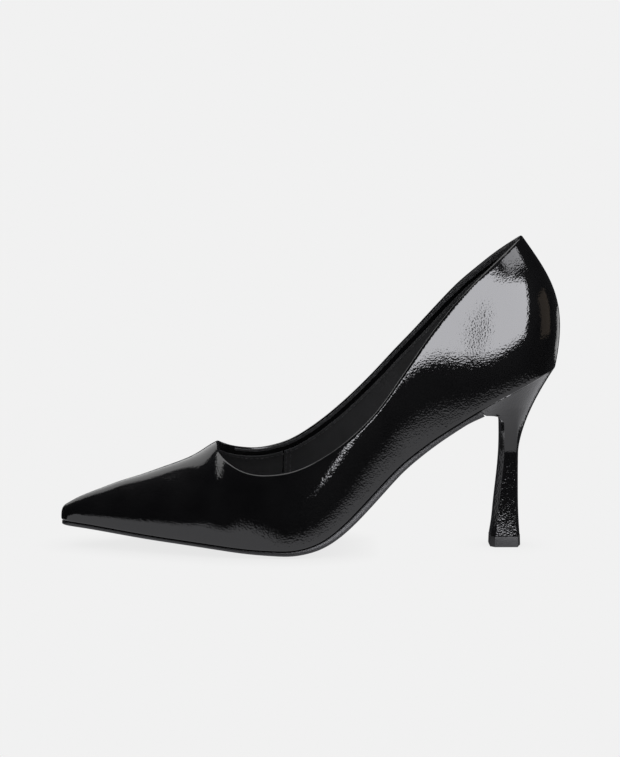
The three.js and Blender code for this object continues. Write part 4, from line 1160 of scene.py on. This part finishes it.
def make_grip_stitches():
    """Thread over the top of the heel grip and down both its sides."""
    first = GRIP_START + 0.25
    station = both_sides(np.linspace(first, BACK, 30))
    paths = [on_lining(station, (rim_share(station) * 0.885)[:, None], GRIP_T)[:, 0]]
    for s in (first, LOOP - first):
        rim = rim_share(np.array([s]))[0]
        paths.append(on_lining(np.array([s]), np.linspace(0.4 * rim, 0.87 * rim, 30)[None], GRIP_T)[0])
    return sew("grip_stitches", paths)


# ---- The pieces, and what each stands for ----------------------------------------
def fit(piece, slot, *nodes):
    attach(piece, "root")
    if nodes:
        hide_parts(*nodes)
    return piece


fit(make_upper(), "patent_leather", "upper")
fit(make_vamp_lining(), "lining_leather", "vamp_lining")
fit(make_quarter_lining("quarter_lining_outer_leather", False), "lining_leather", "quarter_lining_outer")
fit(make_quarter_lining("quarter_lining_inner_leather", True), "lining_leather", "quarter_lining_inner")
fit(make_heel_grip(), "suede", "heel_grip")
fit(make_insock(), "lining_leather", "insock")
forepart_pad = make_pad("forepart_foam_pad", *FOREPART_PAD, inset=6)
fit(forepart_pad, "latex_foam", "forepart_foam")
heel_pad = make_pad("heel_foam_pad", HEEL_PAD_START, float(BACK), inset=7, end_cap=False)
fit(heel_pad, "latex_foam", "heel_pad")
fit(make_outsole(), "outsole_resin", "outsole")
fit(make_heel_core(), "heel_abs", "heel_block")
fit(make_heel_cover(), "patent_leather", "heel_cover")
fit(make_top_piece(), "tip_polyurethane", "top_piece")
fit(make_stitches(), "lining_leather")
fit(make_grip_stitches(), "lining_leather")

HIDDEN_FINISHES = {
    "toe_puff": STIFFENER, "heel_counter": STIFFENER, "topline_tape": TAPE, "back_seam_tape": TAPE,
    "insole_board": BOARD, "shank_board": BOARD, "bottom_filler": CORK,
}
for name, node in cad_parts.items():
    if node.hide_render:
        continue
    node.data.materials.clear()
    node.data.materials.append(HIDDEN_FINISHES.get(name, STEEL))


# ---- Floor, light and camera -----------------------------------------------------
PAPER = linear("#f1f1f1")


def make_floor():
    """Pale seamless paper that glows evenly, with a faint painted shadow where the shoe touches it: ambient
    occlusion darkens the paper's colour there.
    """
    material = bpy.data.materials.new("studio paper")
    material.use_nodes = True
    tree = material.node_tree
    tree.nodes.clear()
    # Painted contact shadow: the glowing paper's colour goes darker where the shoe hides it.
    open_share = add_node(tree, "ShaderNodeAmbientOcclusion", {"Distance": 0.02}, samples=8)
    paper_with_painted_shadow = add_node(tree, "ShaderNodeMix", {
        "Factor": open_share.outputs["AO"], "A": linear("#e4e4e4"), "B": PAPER}, data_type="RGBA")
    glow = add_node(tree, "ShaderNodeEmission", {"Color": paper_with_painted_shadow.outputs["Result"], "Strength": 1.0})
    add_node(tree, "ShaderNodeOutputMaterial", {"Surface": glow.outputs[0]})
    bpy.ops.mesh.primitive_circle_add(vertices=96, radius=30.0, fill_type="NGON", location=(0, 0, -0.0001))
    floor = bpy.context.object
    floor.name = "studio_floor"
    floor.data.materials.append(material)
    floor.visible_glossy = False  # the leather mirrors the world's own floor colour instead


def make_world():
    """The eye sees pale paper all round. The leather mirrors pale paper below and a dark room above."""
    world = bpy.data.worlds.new("studio")
    bpy.context.scene.world = world
    world.use_nodes = True
    tree = world.node_tree
    tree.nodes.clear()
    way = add_node(tree, "ShaderNodeTexCoord").outputs["Generated"]
    parts = add_node(tree, "ShaderNodeSeparateXYZ", {"Vector": way}).outputs
    # The paper fills the mirror up to 21 degrees below the level, then gives way to the room. Before the toe
    # a white board stands on it and reaches higher.
    towards_toe = add_node(tree, "ShaderNodeMapRange", {
        "Value": parts["X"], "From Min": -1.0, "From Max": 0.0, "To Min": 0.75, "To Max": 0.0})
    in_front = add_node(tree, "ShaderNodeMapRange", {
        "Value": parts["Y"], "From Min": -0.5, "From Max": 0.0, "To Min": 1.0, "To Max": 0.0})
    board = add_node(tree, "ShaderNodeMath", {
        0: towards_toe.outputs["Result"], 1: in_front.outputs["Result"]}, operation="MULTIPLY")
    height = add_node(tree, "ShaderNodeMath", {0: parts["Z"], 1: board.outputs["Value"]},
                      operation="SUBTRACT")
    paper_share = add_node(tree, "ShaderNodeMapRange", {
        "Value": height.outputs["Value"], "From Min": -0.375, "From Max": -0.35,
        "To Min": 1.0, "To Max": 0.0})
    mirrored = add_node(tree, "ShaderNodeMix", {
        "Factor": paper_share.outputs["Result"], "A": linear("#222224"), "B": linear("#f0f0f4")},
        data_type="RGBA")
    seen = add_node(tree, "ShaderNodeBackground", {"Color": PAPER, "Strength": 1.0})
    room = add_node(tree, "ShaderNodeBackground", {"Color": mirrored.outputs["Result"], "Strength": 1.25})
    path = add_node(tree, "ShaderNodeLightPath")
    both = add_node(tree, "ShaderNodeMixShader", {
        0: path.outputs["Is Camera Ray"], 1: room.outputs[0], 2: seen.outputs[0]})
    add_node(tree, "ShaderNodeOutputWorld", {"Surface": both.outputs[0]})


def direction(azimuth, elevation):
    """Unit vector: azimuth 0 is the outer side, 90 behind the heel, -90 before the toe."""
    a, e = math.radians(azimuth), math.radians(elevation)
    return Vector((math.cos(e) * math.sin(a), -math.cos(e) * math.cos(a), math.sin(e)))


def add_softbox(name, target, azimuth, elevation, distance, size, radiance, colour="#ffffff",
                mirrored=True):
    """Rectangular softbox that faces a target, from a direction and a distance in metres."""
    data = bpy.data.lights.new(name, "AREA")
    data.shape = "RECTANGLE"
    data.size, data.size_y = size
    data.energy = radiance * math.pi * size[0] * size[1]
    data.color = linear(colour)[:3]
    lamp = bpy.data.objects.new(name, data)
    lamp.location = Vector(target) + distance * direction(azimuth, elevation)
    lamp.rotation_mode = "QUATERNION"
    lamp.rotation_quaternion = (-direction(azimuth, elevation)).to_track_quat("-Z", "Y")
    lamp.visible_camera = False
    lamp.visible_glossy = mirrored
    bpy.context.scene.collection.objects.link(lamp)


def add_panel(name, target, corners, distance, radiance):
    """Glowing panel before a target, its four corners given as directions. Only mirrors see it."""
    material = bpy.data.materials.new(name)
    material.use_nodes = True
    tree = material.node_tree
    tree.nodes.clear()
    glow = add_node(tree, "ShaderNodeEmission", {"Color": linear("#fafaff"), "Strength": radiance})
    add_node(tree, "ShaderNodeOutputMaterial", {"Surface": glow.outputs[0]})
    mesh = bpy.data.meshes.new(name)
    spots = [Vector(target) + distance * direction(*corner) for corner in corners]
    mesh.from_pydata(spots, [], [(0, 1, 2, 3)])
    mesh.materials.append(material)
    panel = bpy.data.objects.new(name, mesh)
    panel.visible_camera = False
    panel.visible_diffuse = False
    bpy.context.scene.collection.objects.link(panel)


def make_lights():
    """Two windows make the patch on the quarter, and softboxes the ridge, the rim and the soft tops."""
    quarter = (0.09, -0.022, 0.115)
    ridge = (-0.07, -0.005, 0.035)
    back = (0.118, 0.0, 0.09)
    add_panel("window on the quarter", quarter, [(3, -8), (44, 0), (64, 36), (8, 33)], 0.65, 11)
    add_panel("strip over the quarter", quarter, [(36, 40), (84, 40), (88, 48), (45, 49)], 0.65, 5)
    add_softbox("far softbox along the vamp", ridge, -148, 29, 0.7, (0.55, 0.5), 1.2)
    add_softbox("low rim light", back, 140, -4, 0.6, (0.2, 0.14), 1.0)
    add_softbox("warm wall behind the heel", back, 90, 10, 0.6, (0.28, 0.3), 0.5, "#d8c4b0")
    add_softbox("overhead", (0, 0, 0.05), 0, 89, 1.3, (1.5, 1.2), 2.4)
    add_softbox("fill", (0.02, 0, 0.05), 40, 65, 1.3, (1.0, 0.8), 6, mirrored=False)


def make_camera():
    """Side view from the outer side, 7 degrees above the ground and a metre away."""
    aim = Vector((0.0005, 0.0004, 0.0823))
    elevation = math.radians(7)
    distance = 1.0
    data = bpy.data.cameras.new("camera")
    data.sensor_width = 36.0
    data.lens = 97.4
    camera = bpy.data.objects.new("camera", data)
    camera.location = aim + distance * Vector((0, -math.cos(elevation), math.sin(elevation)))
    camera.rotation_euler = (math.pi / 2 - elevation, 0, 0)
    bpy.context.scene.collection.objects.link(camera)
    bpy.context.scene.camera = camera


make_floor()
make_world()
make_lights()
make_camera()
bpy.context.scene.view_settings.view_transform = "Standard"
